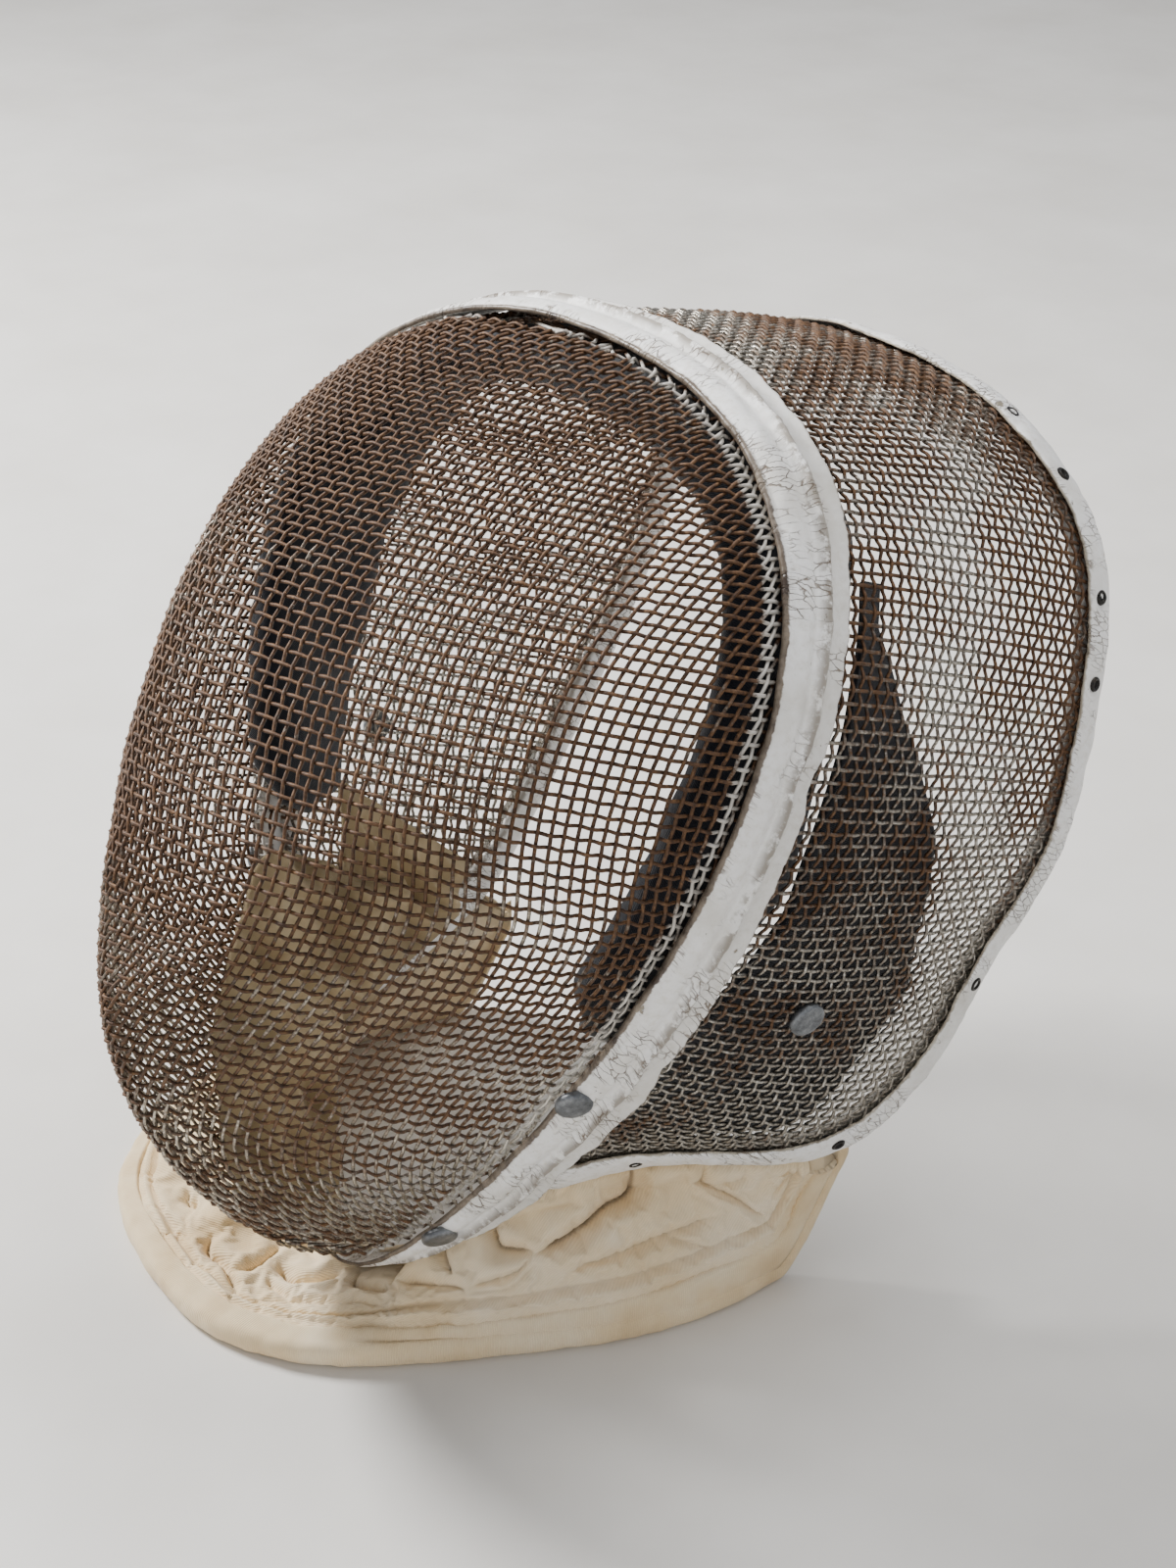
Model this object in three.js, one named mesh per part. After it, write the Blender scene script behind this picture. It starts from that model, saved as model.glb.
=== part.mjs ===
// A vintage fencing mask standing on its chin and its padded bib.
// Millimetres, +Z up. The wearer faces -Y and X runs across the face, with the wearer's left at +X.
// The face rim lies in a plane that leans back. Points of the mask are given in that plane's own
// directions: across (X), up along the rim plane, and out in front of it.
import * as THREE from 'three';
import { mergeVertices } from 'three/addons/utils/BufferGeometryUtils.js';

const rad = THREE.MathUtils.degToRad;
const { clamp, lerp, smoothstep } = THREE.MathUtils;

// ---- driving dimensions ----
const LEAN = rad(22);
const RIM_CENTRE_HEIGHT = 149;
const RIM = { halfHeight: 142.5, halfWidth: 97.2, roundness: 0.88, taper: 0.54, bow: 8.5, sway: 12.5 };
const DOME = { depth: 102, noseDrop: 54, shoulder: 1.37, rise: 1.23, pinch: 0.031 };
const SIDE_END = rad(132); // the side mesh runs over the head between minus and plus this rim angle
const SIDE_SWELL = 0.033; // outward swell of the side mesh, as a share of its depth
const GAP = 0.6; // clearance between neighbouring pieces
const MESH_THICKNESS = 2; // two crossing wires of 1 mm
const MESH_FACE = MESH_THICKNESS / 2 + GAP; // where a piece on the mesh starts, from its middle
const BAND = { width: 24, chinWidth: 11, edge: 2.2, ridge: 3.8, narrowsFrom: rad(115) };
const TRIM = { width: 9, leather: 1.7, lap: 2.5, end: rad(126) };
const PAD = { start: 3, thickness: 14, end: rad(102) };
const FLAP = { depth: 2.2, thickness: 2.5 };
const LINING = { depth: 5, thickness: 3 };
const BIB = { thickness: 8.6, binding: 7, bindingHeight: 9.2 };
const RIVET = { radius: 5.2, height: 1.9 };
const EYELET = { radius: 2.4, hole: 1, height: 1.1 };
const STEP = rad(6); // rim angle between sections
const MIDDLE = new THREE.Vector3(0, 40, 150); // a point well inside the hollow

// The outer edge of the side mesh, from under the chin band, along the cheek and up to the crown.
const REAR_EDGE = [
  { back: 20, up: -95, across: 52 },
  { back: 57, up: -80, across: 63 },
  { back: 102, up: -67, across: 87.5 },
  { back: 122, up: -38, across: 96.5 },
  { back: 132, up: 1, across: 98 },
  { back: 142, up: 48, across: 100 },
  { back: 134, up: 120, across: 87 },
  { back: 124, up: 152, across: 49 },
  { back: 117, up: 160, across: 0 },
];

// The bib from the wearer's right ear, round the chin, to the left ear. Its top hangs under the
// mask's lower edge, and its foot lies on the ground; it flares out on the right and hangs steep
// on the left. lift is how far the foot is off the ground at the two ends.
const BIB_SECTIONS = [
  { topX: -84, topY: 74, topZ: 42, footX: -86, footY: 80, lift: 22, belly: 0 },
  { topX: -82, topY: 60, topZ: 43, footX: -92, footY: 62, lift: 1, belly: 4 },
  { topX: -71, topY: 34, topZ: 44, footX: -100, footY: 28, lift: 0, belly: 5 },
  { topX: -61, topY: 6, topZ: 44, footX: -104, footY: -10, lift: 0, belly: 5 },
  { topX: -50, topY: -18, topZ: 38, footX: -97, footY: -46, lift: 0, belly: 4 },
  { topX: -34, topY: -32, topZ: 23, footX: -74, footY: -76, lift: 0, belly: 1 },
  { topX: -16, topY: -36, topZ: 8, footX: -38, footY: -87, lift: 0, belly: 0 },
  { topX: 2, topY: -36, topZ: 6, footX: -4, footY: -86, lift: 0, belly: 0 },
  { topX: 18, topY: -34, topZ: 11, footX: 23, footY: -70, lift: 0, belly: 1 },
  { topX: 34, topY: -28, topZ: 27, footX: 42, footY: -43, lift: 0, belly: 3 },
  { topX: 48, topY: -12, topZ: 41, footX: 57, footY: -16, lift: 0, belly: 4 },
  { topX: 57, topY: 8, topZ: 44, footX: 69, footY: 8, lift: 0, belly: 5 },
  { topX: 66, topY: 28, topZ: 44, footX: 76, footY: 34, lift: 0, belly: 5 },
  { topX: 76, topY: 48, topZ: 44, footX: 77, footY: 57, lift: 1, belly: 4 },
  { topX: 83, topY: 66, topZ: 43, footX: 79, footY: 74, lift: 20, belly: 1 },
];

// Width of the head pad behind the rim, by angle from the crown.
const PAD_WIDTHS = [
  { angle: 0, front: 12, back: 34 },
  { angle: 45, front: 12, back: 36 },
  { angle: 75, front: 12, back: 40 },
  { angle: 102, front: 10, back: 24 },
];

// Rear edge of the ear flap inside the left cheek, behind the rim.
const FLAP_EDGE = [
  { angle: 38, back: 33 },
  { angle: 50, back: 65 },
  { angle: 59, back: 98 },
  { angle: 74, back: 120 },
  { angle: 98, back: 98 },
  { angle: 107, back: 72 },
  { angle: 116, back: 46 },
];

// Upper edge of the canvas lining of the cheek and chin: forward of the rim and behind it.
// Its angle runs from the right cheek to just past the middle of the chin at 180 degrees.
const LINING_EDGE = [
  { angle: 95, front: -36, back: 105 },
  { angle: 106, front: -36, back: 90 },
  { angle: 109, front: 8, back: 80 },
  { angle: 120, front: 28, back: 44 },
  { angle: 135, front: 42, back: 16 },
  { angle: 180, front: 46, back: 8 },
  { angle: 192, front: 24, back: 8 },
  { angle: 200, front: 8, back: 8 },
];

const TRIM_EYELETS = [16, 24, 35, 40.5, 69, 96, 115];
const BAND_RIVETS = { upper: { angle: 108.5, back: 3.5 }, lower: { angle: 142, back: 4.5 } };
const SIDE_RIVET = { angle: 84, back: 65 };

const RUST = { color: 0x5c3d29, roughness: 0.75, metalness: 0.6 };
const STEEL = { color: 0x6d635a, roughness: 0.6, metalness: 0.7 };
const PAINTED_LEATHER = { color: 0xe4e0d8, roughness: 0.6, metalness: 0 };
const CREAM_LEATHER = { color: 0xdcd6c8, roughness: 0.65, metalness: 0 };
const ZINC = { color: 0x6f757c, roughness: 0.5, metalness: 0.8 };
const DARK_EYELET = { color: 0x23211f, roughness: 0.45, metalness: 0.7 };
const NAVY_CLOTH = { color: 0x1c1d22, roughness: 0.95, metalness: 0 };
const CANVAS = { color: 0x9a8462, roughness: 0.95, metalness: 0 };
const COTTON = { color: 0xe0cda8, roughness: 0.9, metalness: 0 };

// ---- the mask's surface ----
const UP = new THREE.Vector3(0, Math.sin(LEAN), Math.cos(LEAN));
const OUT = new THREE.Vector3(0, -Math.cos(LEAN), Math.sin(LEAN));

function maskPoint(across, up, out) {
  return new THREE.Vector3(across, 0, RIM_CENTRE_HEIGHT).addScaledVector(UP, up).addScaledVector(OUT, out);
}

// Values of a table between its rows, by Catmull-Rom, for a place from 0 to 1 along the rows.
// Past the last row the table is mirrored in the keys named in mirrored, or else runs on straight.
function between(rows, place, mirrored) {
  const last = rows.length - 1;
  const row = Math.min(Math.floor(clamp(place, 0, 1) * last), last - 1);
  const share = clamp(place, 0, 1) * last - row;
  const values = {};
  for (const key of Object.keys(rows[0])) {
    const sign = mirrored?.includes(key) ? -1 : 1;
    const past = mirrored ? sign * rows[last - 1][key] : 2 * rows[last][key] - rows[last - 1][key];
    const a = row > 0 ? rows[row - 1][key] : 2 * rows[0][key] - rows[1][key];
    const b = rows[row][key];
    const c = rows[row + 1][key];
    const d = row + 2 <= last ? rows[row + 2][key] : past;
    const linear = (c - a) * share;
    const square = (2 * a - 5 * b + 4 * c - d) * share ** 2;
    const cube = (3 * b - a - 3 * c + d) * share ** 3;
    values[key] = 0.5 * (2 * b + linear + square + cube);
  }
  return values;
}

// One column of a table whose rows are set at angles, joined straight.
function atAngle(rows, degrees, key) {
  const above = rows.findIndex((row) => row.angle >= degrees);
  if (above < 0) return rows.at(-1)[key];
  if (above === 0) return rows[0][key];
  const low = rows[above - 1];
  const high = rows[above];
  return lerp(low[key], high[key], (degrees - low.angle) / (high.angle - low.angle));
}

// Half width, height and forward bow of the rim at an angle from the crown; 180 degrees is the chin.
function rimValues(angle) {
  const height = Math.cos(angle);
  const reach = RIM.halfWidth * Math.sign(Math.sin(angle)) * Math.abs(Math.sin(angle)) ** RIM.roundness;
  const round = 1 - height ** 2;
  return {
    across: reach * (1 + RIM.taper * height),
    up: RIM.halfHeight * height,
    out: (RIM.bow + RIM.sway * height) * round,
  };
}

function rimPoint(angle) {
  const { across, up, out } = rimValues(angle);
  return maskPoint(across, up, out);
}

// The face dome: rise 0 is at the rim and rise 1 at the nose, where all angles meet.
function domePoint(angle, rise) {
  const { across, up, out } = rimValues(angle);
  const lift = (rise * Math.PI) / 2;
  const spread = Math.cos(lift) ** DOME.shoulder * (1 - DOME.pinch * Math.sin(2 * lift));
  const depth = Math.sin(lift) ** DOME.rise;
  return maskPoint(
    across * spread,
    lerp(-DOME.noseDrop, up, spread),
    lerp(out, DOME.depth, depth),
  );
}

function rearPoint(angle) {
  const edge = between(REAR_EDGE, 1 - Math.abs(angle) / SIDE_END, ['across']);
  return maskPoint(Math.sign(angle) * edge.across, edge.up, -edge.back);
}

function sideDepth(angle) {
  return rimPoint(angle).distanceTo(rearPoint(angle));
}

// The side mesh at a distance behind the rim, on the straight line to the rear edge plus a swell.
function sidePoint(angle, back) {
  const depth = sideDepth(angle);
  const share = back / depth;
  const point = rimPoint(angle).lerp(rearPoint(angle), share);
  const away = point.clone().sub(maskPoint(0, 0, 0));
  away.addScaledVector(OUT, -away.dot(OUT)).normalize();
  const swell = SIDE_SWELL * depth * 4 * Math.max(0, share * (1 - share));
  return point.addScaledVector(away, swell);
}

// Below the cheeks there is no side mesh, and the surface runs straight back under the chin.
function chinPoint(angle, back) {
  const end = Math.sign(angle) * SIDE_END;
  const fromCheek = rearPoint(end).sub(rimPoint(end)).normalize();
  const share = smoothstep(Math.abs(angle), SIDE_END, Math.PI);
  const direction = fromCheek.lerp(new THREE.Vector3(0, 1, 0), share).normalize();
  return rimPoint(angle).addScaledVector(direction, back);
}

// How far up the dome, from 0 to 1, a distance along its surface from the rim reaches.
function riseAt(angle, distance) {
  const steps = 80;
  let walked = 0;
  let before = domePoint(angle, 0);
  for (let i = 1; i <= steps; i++) {
    const after = domePoint(angle, i / steps);
    const stride = after.distanceTo(before);
    if (walked + stride >= distance) return (i - 1 + (distance - walked) / stride) / steps;
    walked += stride;
    before = after;
  }
  return 1;
}

// The middle of the mask's wall at a distance behind the rim; a negative distance is on the dome.
function wallPoint(angle, back) {
  if (back < 0) return domePoint(angle, riseAt(angle, -back));
  if (Math.abs(angle) <= SIDE_END) return sidePoint(angle, back);
  return chinPoint(angle, back);
}

// A point off the wall by a distance, outwards where that is positive.
function offWall(angle, back, offset) {
  const small = 0.01;
  const reach = 1.5;
  const round = wallPoint(angle + small, back).sub(wallPoint(angle - small, back));
  const along = wallPoint(angle, back + reach).sub(wallPoint(angle, back - reach));
  const normal = round.cross(along).normalize();
  const point = wallPoint(angle, back);
  if (normal.dot(point.clone().sub(MIDDLE)) < 0) normal.negate();
  return point.addScaledVector(normal, offset);
}

// ---- building solids ----
// A closed solid from a grid of points: sections[i][j] is point j round section i. Sections are
// closed loops; the run of sections closes on itself if ring is set, or else ends in flat caps.
function sweep(sections, ring) {
  const corners = [];
  const around = sections[0].length;
  const quad = (a, b, c, d) => corners.push(a, b, c, a, c, d);
  const runs = ring ? sections.length : sections.length - 1;
  for (let i = 0; i < runs; i++) {
    const here = sections[i];
    const next = sections[(i + 1) % sections.length];
    for (let j = 0; j < around; j++) {
      const k = (j + 1) % around;
      quad(here[j], next[j], next[k], here[k]);
    }
  }
  if (!ring) {
    cap(corners, sections[0], false);
    cap(corners, sections.at(-1), true);
  }
  return closedSolid(corners);
}

// An end cap: a strip between the first and the second half of the loop, so that thin curved
// sections close without crossing themselves.
function cap(corners, loop, atEnd) {
  const last = loop.length - 1;
  const add = (a, b, c) => (atEnd ? corners.push(a, c, b) : corners.push(a, b, c));
  for (let low = 0, high = last; high - low > 1; low++, high--) {
    add(loop[low], loop[low + 1], loop[high]);
    if (high - 1 > low + 1) add(loop[low + 1], loop[high - 1], loop[high]);
  }
}

function volumeOf(corners) {
  let six = 0;
  for (let i = 0; i < corners.length; i += 3) {
    six += corners[i].dot(corners[i + 1].clone().cross(corners[i + 2]));
  }
  return six / 6;
}

// Triangles whose corners meet are dropped, and the faces are turned to point outwards.
function closedSolid(corners) {
  const same = 1e-6;
  const kept = [];
  for (let i = 0; i < corners.length; i += 3) {
    const [a, b, c] = corners.slice(i, i + 3);
    if (a.distanceTo(b) > same && b.distanceTo(c) > same && c.distanceTo(a) > same) kept.push(a, b, c);
  }
  if (volumeOf(kept) < 0) kept.reverse();
  const geometry = mergeVertices(new THREE.BufferGeometry().setFromPoints(kept), 1e-4);
  geometry.computeVertexNormals();
  return geometry;
}

function anglesBetween(from, to, step = STEP) {
  const count = Math.max(2, Math.round((to - from) / step));
  return Array.from({ length: count + 1 }, (_, i) => lerp(from, to, i / count));
}

// ---- the pieces ----
const mask = new THREE.Group();

function add(name, geometry, look) {
  const mesh = new THREE.Mesh(geometry, new THREE.MeshStandardMaterial(look));
  mesh.name = name;
  mask.add(mesh);
  return mesh;
}

// The face mesh is a shell: its loop runs up the outside to the nose and back down the inside.
function faceMesh() {
  const steps = 12;
  const half = MESH_THICKNESS / 2;
  const rises = Array.from({ length: steps }, (_, i) => i / steps);
  const sections = anglesBetween(-Math.PI, Math.PI - STEP).map((angle) => {
    const outside = rises.map((rise) => offDome(angle, rise, half));
    const inside = rises.map((rise) => offDome(angle, rise, -half));
    const nose = domePoint(angle, 1);
    const tips = [half, -half].map((offset) => nose.clone().addScaledVector(OUT, offset));
    return [...outside, ...tips, ...inside.reverse()];
  });
  return sweep(sections, true);
}

function offDome(angle, rise, offset) {
  const small = 0.01;
  const round = domePoint(angle + small, rise).sub(domePoint(angle - small, rise));
  const along = domePoint(angle, rise + small).sub(domePoint(angle, Math.max(0, rise - small)));
  const normal = round.cross(along).normalize();
  const point = domePoint(angle, rise);
  if (normal.dot(point.clone().sub(MIDDLE)) < 0) normal.negate();
  return point.addScaledVector(normal, offset);
}

function sideMesh() {
  const half = MESH_THICKNESS / 2;
  const sections = anglesBetween(-SIDE_END, SIDE_END).map((angle) => {
    const depth = sideDepth(angle);
    const bandEnd = Math.min(BAND.width + GAP, depth * 0.7);
    const trimStart = Math.max(depth - TRIM.width, depth * 0.8);
    const open = [0, 0.25, 0.5, 0.75, 1].map((share) => lerp(bandEnd, trimStart, share));
    const backs = [GAP, ...open, depth - TRIM.lap];
    const outside = backs.map((back) => offWall(angle, back, half));
    const inside = backs.map((back) => offWall(angle, back, -half));
    return [...outside, ...inside.reverse()];
  });
  return sweep(sections, false);
}

function bandWidth(angle) {
  const share = smoothstep(Math.abs(angle), BAND.narrowsFrom, Math.PI);
  return lerp(BAND.width, BAND.chinWidth, share);
}

function seamBand() {
  const profile = [
    { share: 0, height: 0 },
    { share: 1, height: 0 },
    { share: 1, height: BAND.edge },
    { share: 0.75, height: BAND.edge },
    { share: 0.58, height: BAND.ridge },
    { share: 0.4, height: BAND.edge + 0.5 },
    { share: 0.04, height: BAND.edge },
  ];
  const sections = anglesBetween(-Math.PI, Math.PI - STEP).map((angle) => {
    const width = bandWidth(angle);
    return profile.map(({ share, height }) => offWall(angle, GAP + share * width, MESH_FACE + height));
  });
  return sweep(sections, true);
}

// The trim is folded over the rear edge of the side mesh: two legs and the fold between them.
function rearTrim() {
  const skin = MESH_FACE + TRIM.leather;
  const fold = TRIM.width - TRIM.leather;
  const profile = [
    { across: 0, height: MESH_FACE },
    { across: 0, height: skin },
    { across: TRIM.width, height: skin },
    { across: TRIM.width, height: -skin },
    { across: 0, height: -skin },
    { across: 0, height: -MESH_FACE },
    { across: fold, height: -MESH_FACE },
    { across: fold, height: MESH_FACE },
  ];
  const sections = anglesBetween(-TRIM.end, TRIM.end).map((angle) => {
    const start = sideDepth(angle) - TRIM.width;
    return profile.map(({ across, height }) => offWall(angle, start + across, height));
  });
  return trimSweep(sections);
}

// The trim's section is a channel, so its ends are closed leg by leg.
function trimSweep(sections) {
  const corners = [];
  for (let i = 0; i < sections.length - 1; i++) {
    sections[i].forEach((point, j) => {
      const k = (j + 1) % sections[i].length;
      const next = sections[i + 1];
      corners.push(point, next[j], next[k], point, next[k], sections[i][k]);
    });
  }
  for (const [loop, atEnd] of [[sections[0], false], [sections.at(-1), true]]) {
    for (const [a, b, c, d] of [[0, 1, 2, 7], [2, 3, 6, 7], [3, 4, 5, 6]]) {
      const quad = [loop[a], loop[b], loop[c], loop[d]];
      if (atEnd) quad.reverse();
      corners.push(quad[0], quad[1], quad[2], quad[0], quad[2], quad[3]);
    }
  }
  return closedSolid(corners);
}

// The dark pad inside the rim, over the crown and down both temples.
function headPad() {
  const near = -PAD.start;
  const far = -PAD.start - PAD.thickness;
  const sections = anglesBetween(-PAD.end, PAD.end).map((angle) => {
    const degrees = Math.abs(THREE.MathUtils.radToDeg(angle));
    const front = -atAngle(PAD_WIDTHS, degrees, 'front');
    const back = atAngle(PAD_WIDTHS, degrees, 'back');
    const profile = [
      [front, near - 1],
      [0, near],
      [back, near],
      [back + 2, (near + far) / 2],
      [back - 5, far],
      [(front + back) / 2, far - 2],
      [front + 5, far],
      [front - 2, (near + far) / 2],
    ];
    return profile.map(([along, height]) => offWall(angle, along, height));
  });
  return sweep(sections, false);
}

// The thin dark flap that stands against the left cheek's mesh, behind the pad.
function earFlap() {
  const top = FLAP_EDGE[0].angle;
  const bottom = FLAP_EDGE.at(-1).angle;
  const sections = anglesBetween(rad(top), rad(bottom)).map((angle) => {
    const degrees = THREE.MathUtils.radToDeg(angle);
    const padBack = atAngle(PAD_WIDTHS, Math.min(degrees, 102), 'back') + 3;
    const back = Math.max(atAngle(FLAP_EDGE, degrees, 'back'), padBack + 6);
    const backs = [0, 0.33, 0.67, 1].map((share) => lerp(padBack, back, share));
    const outside = backs.map((along) => offWall(angle, along, -MESH_FACE - FLAP.depth));
    const inside = backs.map((along) => offWall(angle, along, -MESH_FACE - FLAP.depth - FLAP.thickness));
    return [...outside, ...inside.reverse()];
  });
  return sweep(sections, false);
}

// The canvas lining is a shell a little inside the mesh, low on the right cheek and round the chin.
function chinLining() {
  const outer = -MESH_FACE - LINING.depth;
  const inner = outer - LINING.thickness;
  const shares = [0, 0.25, 0.5, 0.75, 1];
  const first = rad(LINING_EDGE[0].angle);
  const last = rad(LINING_EDGE.at(-1).angle);
  const sections = anglesBetween(first, last).map((turn) => {
    const degrees = THREE.MathUtils.radToDeg(turn);
    const front = -atAngle(LINING_EDGE, degrees, 'front');
    const back = atAngle(LINING_EDGE, degrees, 'back');
    const angle = turn <= Math.PI ? -turn : 2 * Math.PI - turn;
    const alongs = shares.map((share) => lerp(front, back, share));
    const outside = alongs.map((along) => offWall(angle, along, outer));
    const inside = alongs.map((along) => offWall(angle, along, inner));
    return [...outside, ...inside.reverse()];
  });
  return sweep(sections, false);
}

// One section of the bib: its foot stands on the ground and its top hangs under the mask.
function bibSection(place) {
  const row = between(BIB_SECTIONS, place);
  const foot = new THREE.Vector3(row.footX, row.footY, Math.max(0, row.lift));
  const top = new THREE.Vector3(row.topX, row.topY, row.topZ);
  const outward = new THREE.Vector3(row.footX, row.footY - 10, 0).normalize();
  return { foot, top, outward, belly: row.belly };
}

function padded(point, direction, offset) {
  const moved = point.clone().addScaledVector(direction, offset);
  moved.z = Math.max(0, moved.z);
  return moved;
}

const BIB_PLACES = anglesBetween(0, 1, 1 / 48);

function bib() {
  const half = BIB.thickness / 2;
  const sections = BIB_PLACES.map((place) => {
    const { foot, top, outward, belly } = bibSection(place);
    const footTop = foot.clone().setZ(foot.z + BIB.thickness);
    const footMiddle = foot.clone().setZ(foot.z + half);
    const fall = footMiddle.clone().sub(top).normalize();
    const face = new THREE.Vector3(0, 0, 1).addScaledVector(fall, -fall.z);
    face.addScaledVector(outward, -fall.z).normalize();
    const waist = top.clone().lerp(footMiddle, 0.5).addScaledVector(face, belly);
    return [
      foot,
      footTop,
      padded(waist, face, half),
      padded(top, face, half),
      padded(top, face, -half),
      padded(waist, face, -half),
      padded(foot, outward, -BIB.thickness),
    ];
  });
  return sweep(sections, false);
}

function bibBinding() {
  const bevel = 2;
  const near = GAP;
  const far = GAP + BIB.binding;
  const sections = BIB_PLACES.map((place) => {
    const { foot, outward } = bibSection(place);
    const profile = [
      [near, 0],
      [far - bevel, 0],
      [far, bevel],
      [far, BIB.bindingHeight - bevel],
      [far - bevel, BIB.bindingHeight],
      [near, BIB.bindingHeight],
    ];
    return profile.map(([out, height]) => {
      return foot.clone().addScaledVector(outward, out).setZ(foot.z + height);
    });
  });
  return sweep(sections, false);
}

// Turns a lathed piece to stand on the wall, and moves it there.
function standOnWall(mesh, angle, back, height) {
  const foot = offWall(angle, back, height);
  const normal = offWall(angle, back, height + 1).sub(foot);
  mesh.position.copy(foot);
  mesh.quaternion.setFromUnitVectors(new THREE.Vector3(0, 1, 0), normal.normalize());
}

function rivetHead() {
  const { radius, height } = RIVET;
  const profile = [[0, 0], [radius, 0], [radius, height * 0.4], [radius * 0.82, height * 0.85], [0, height]];
  return new THREE.LatheGeometry(profile.map(([x, y]) => new THREE.Vector2(x, y)), 16);
}

function eyelet() {
  const { radius, hole, height } = EYELET;
  const middle = (radius + hole) / 2;
  const profile = [
    [hole, 0],
    [radius, 0],
    [radius, height * 0.4],
    [middle, height],
    [hole, height * 0.6],
    [hole, 0],
  ];
  return new THREE.LatheGeometry(profile.map(([x, y]) => new THREE.Vector2(x, y)), 12);
}

// ---- assembly ----
add('face_mesh', faceMesh(), RUST);
add('side_mesh', sideMesh(), STEEL);
add('seam_band', seamBand(), PAINTED_LEATHER);
add('rear_trim', rearTrim(), CREAM_LEATHER);
add('head_pad', headPad(), NAVY_CLOTH);
add('ear_flap', earFlap(), NAVY_CLOTH);
add('chin_lining', chinLining(), CANVAS);
add('bib', bib(), COTTON);
add('bib_binding', bibBinding(), COTTON);

for (const [side, sign] of [['left', 1], ['right', -1]]) {
  for (const [level, { angle, back }] of Object.entries(BAND_RIVETS)) {
    const rivet = add(`band_rivet_${side}_${level}`, rivetHead(), ZINC);
    standOnWall(rivet, sign * rad(angle), back, MESH_FACE + BAND.edge + 3 * GAP);
  }
  const rivet = add(`side_rivet_${side}`, rivetHead(), ZINC);
  standOnWall(rivet, sign * rad(SIDE_RIVET.angle), SIDE_RIVET.back, MESH_FACE);
  TRIM_EYELETS.forEach((degrees, i) => {
    const ring = add(`trim_eyelet_${side}_${i + 1}`, eyelet(), DARK_EYELET);
    const angle = rad(degrees);
    standOnWall(ring, sign * angle, sideDepth(angle) - TRIM.width / 2, MESH_FACE + TRIM.leather + GAP);
  });
}

// The origin is under the middle of the whole object, on the ground.
const bounds = new THREE.Box3().setFromObject(mask, true);
const middle = bounds.getCenter(new THREE.Vector3());
mask.position.set(-middle.x, -middle.y, -bounds.min.z);

export default mask;
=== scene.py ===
"""Looks of a vintage fencing mask: woven wire, cracked painted leather, navy pad and padded bib.

Shapes are worked out in millimetres in the mask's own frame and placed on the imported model.
"""

import math

import bpy
import numpy as np
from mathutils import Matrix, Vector, noise
from mathutils.bvhtree import BVHTree


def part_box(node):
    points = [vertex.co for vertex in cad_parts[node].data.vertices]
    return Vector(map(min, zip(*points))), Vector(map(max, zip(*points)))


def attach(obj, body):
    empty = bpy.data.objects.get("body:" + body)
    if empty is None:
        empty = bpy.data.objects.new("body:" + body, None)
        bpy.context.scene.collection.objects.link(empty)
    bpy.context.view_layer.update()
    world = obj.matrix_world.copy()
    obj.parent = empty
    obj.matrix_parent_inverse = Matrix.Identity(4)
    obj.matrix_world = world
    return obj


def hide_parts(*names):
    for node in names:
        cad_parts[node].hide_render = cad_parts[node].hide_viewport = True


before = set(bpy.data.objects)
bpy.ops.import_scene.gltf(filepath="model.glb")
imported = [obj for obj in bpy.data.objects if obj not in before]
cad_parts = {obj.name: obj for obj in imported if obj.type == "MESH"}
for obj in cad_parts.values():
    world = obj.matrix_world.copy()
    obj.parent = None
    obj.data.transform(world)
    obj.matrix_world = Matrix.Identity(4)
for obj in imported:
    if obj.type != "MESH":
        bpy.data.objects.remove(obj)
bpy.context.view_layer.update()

MM = 0.001
TAU = 2 * math.pi

# ---- the mask's shape, in millimetres ----
LEAN = math.radians(22)
RIM_CENTRE_HEIGHT = 149
RIM_HALF_HEIGHT, RIM_HALF_WIDTH, RIM_ROUNDNESS, RIM_TAPER = 142.5, 97.2, 0.88, 0.54
RIM_BOW, RIM_SWAY = 8.5, 12.5
DOME_DEPTH, NOSE_DROP, DOME_SHOULDER, DOME_RISE, DOME_PINCH = 102, 54, 1.37, 1.23, 0.031
SIDE_END = math.radians(132)
SIDE_SWELL = 0.033
MIDDLE = np.array([0, 40, 150.0])
UP = np.array([0, math.sin(LEAN), math.cos(LEAN)])
OUT = np.array([0, -math.cos(LEAN), math.sin(LEAN)])
ACROSS = np.array([1.0, 0, 0])

# The outer edge of the side mesh, from the chin band along the cheek to the crown.
REAR_EDGE = np.array(
    [  # back, up, across
        (20, -95, 52),
        (57, -80, 63),
        (102, -67, 87.5),
        (122, -38, 96.5),
        (132, 1, 98),
        (142, 48, 100),
        (134, 120, 87),
        (124, 152, 49),
        (117, 160, 0),
    ],
    float,
)


def between(rows, place, mirror=None):
    """Catmull-Rom values of a table at places from 0 to 1; mirror is the sign of each column past the end."""
    rows = np.asarray(rows, float)
    first = 2 * rows[0] - rows[1]
    past = rows[-2] * mirror if mirror is not None else 2 * rows[-1] - rows[-2]
    full = np.vstack([first, rows, past])
    spans = len(rows) - 1
    at = np.clip(place, 0, 1) * spans
    i = np.minimum(at.astype(int), spans - 1)
    x = (at - i)[..., None]
    a, b, c, d = full[i], full[i + 1], full[i + 2], full[i + 3]
    square = 2 * a - 5 * b + 4 * c - d
    cube = 3 * b - a - 3 * c + d
    return 0.5 * (2 * b + (c - a) * x + square * x**2 + cube * x**3)


def smooth(x, low, high):
    t = np.clip((x - low) / (high - low), 0, 1)
    return t * t * (3 - 2 * t)


def powered(x, power):
    """A power that keeps the sign."""
    return np.sign(x) * np.abs(x) ** power


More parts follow.
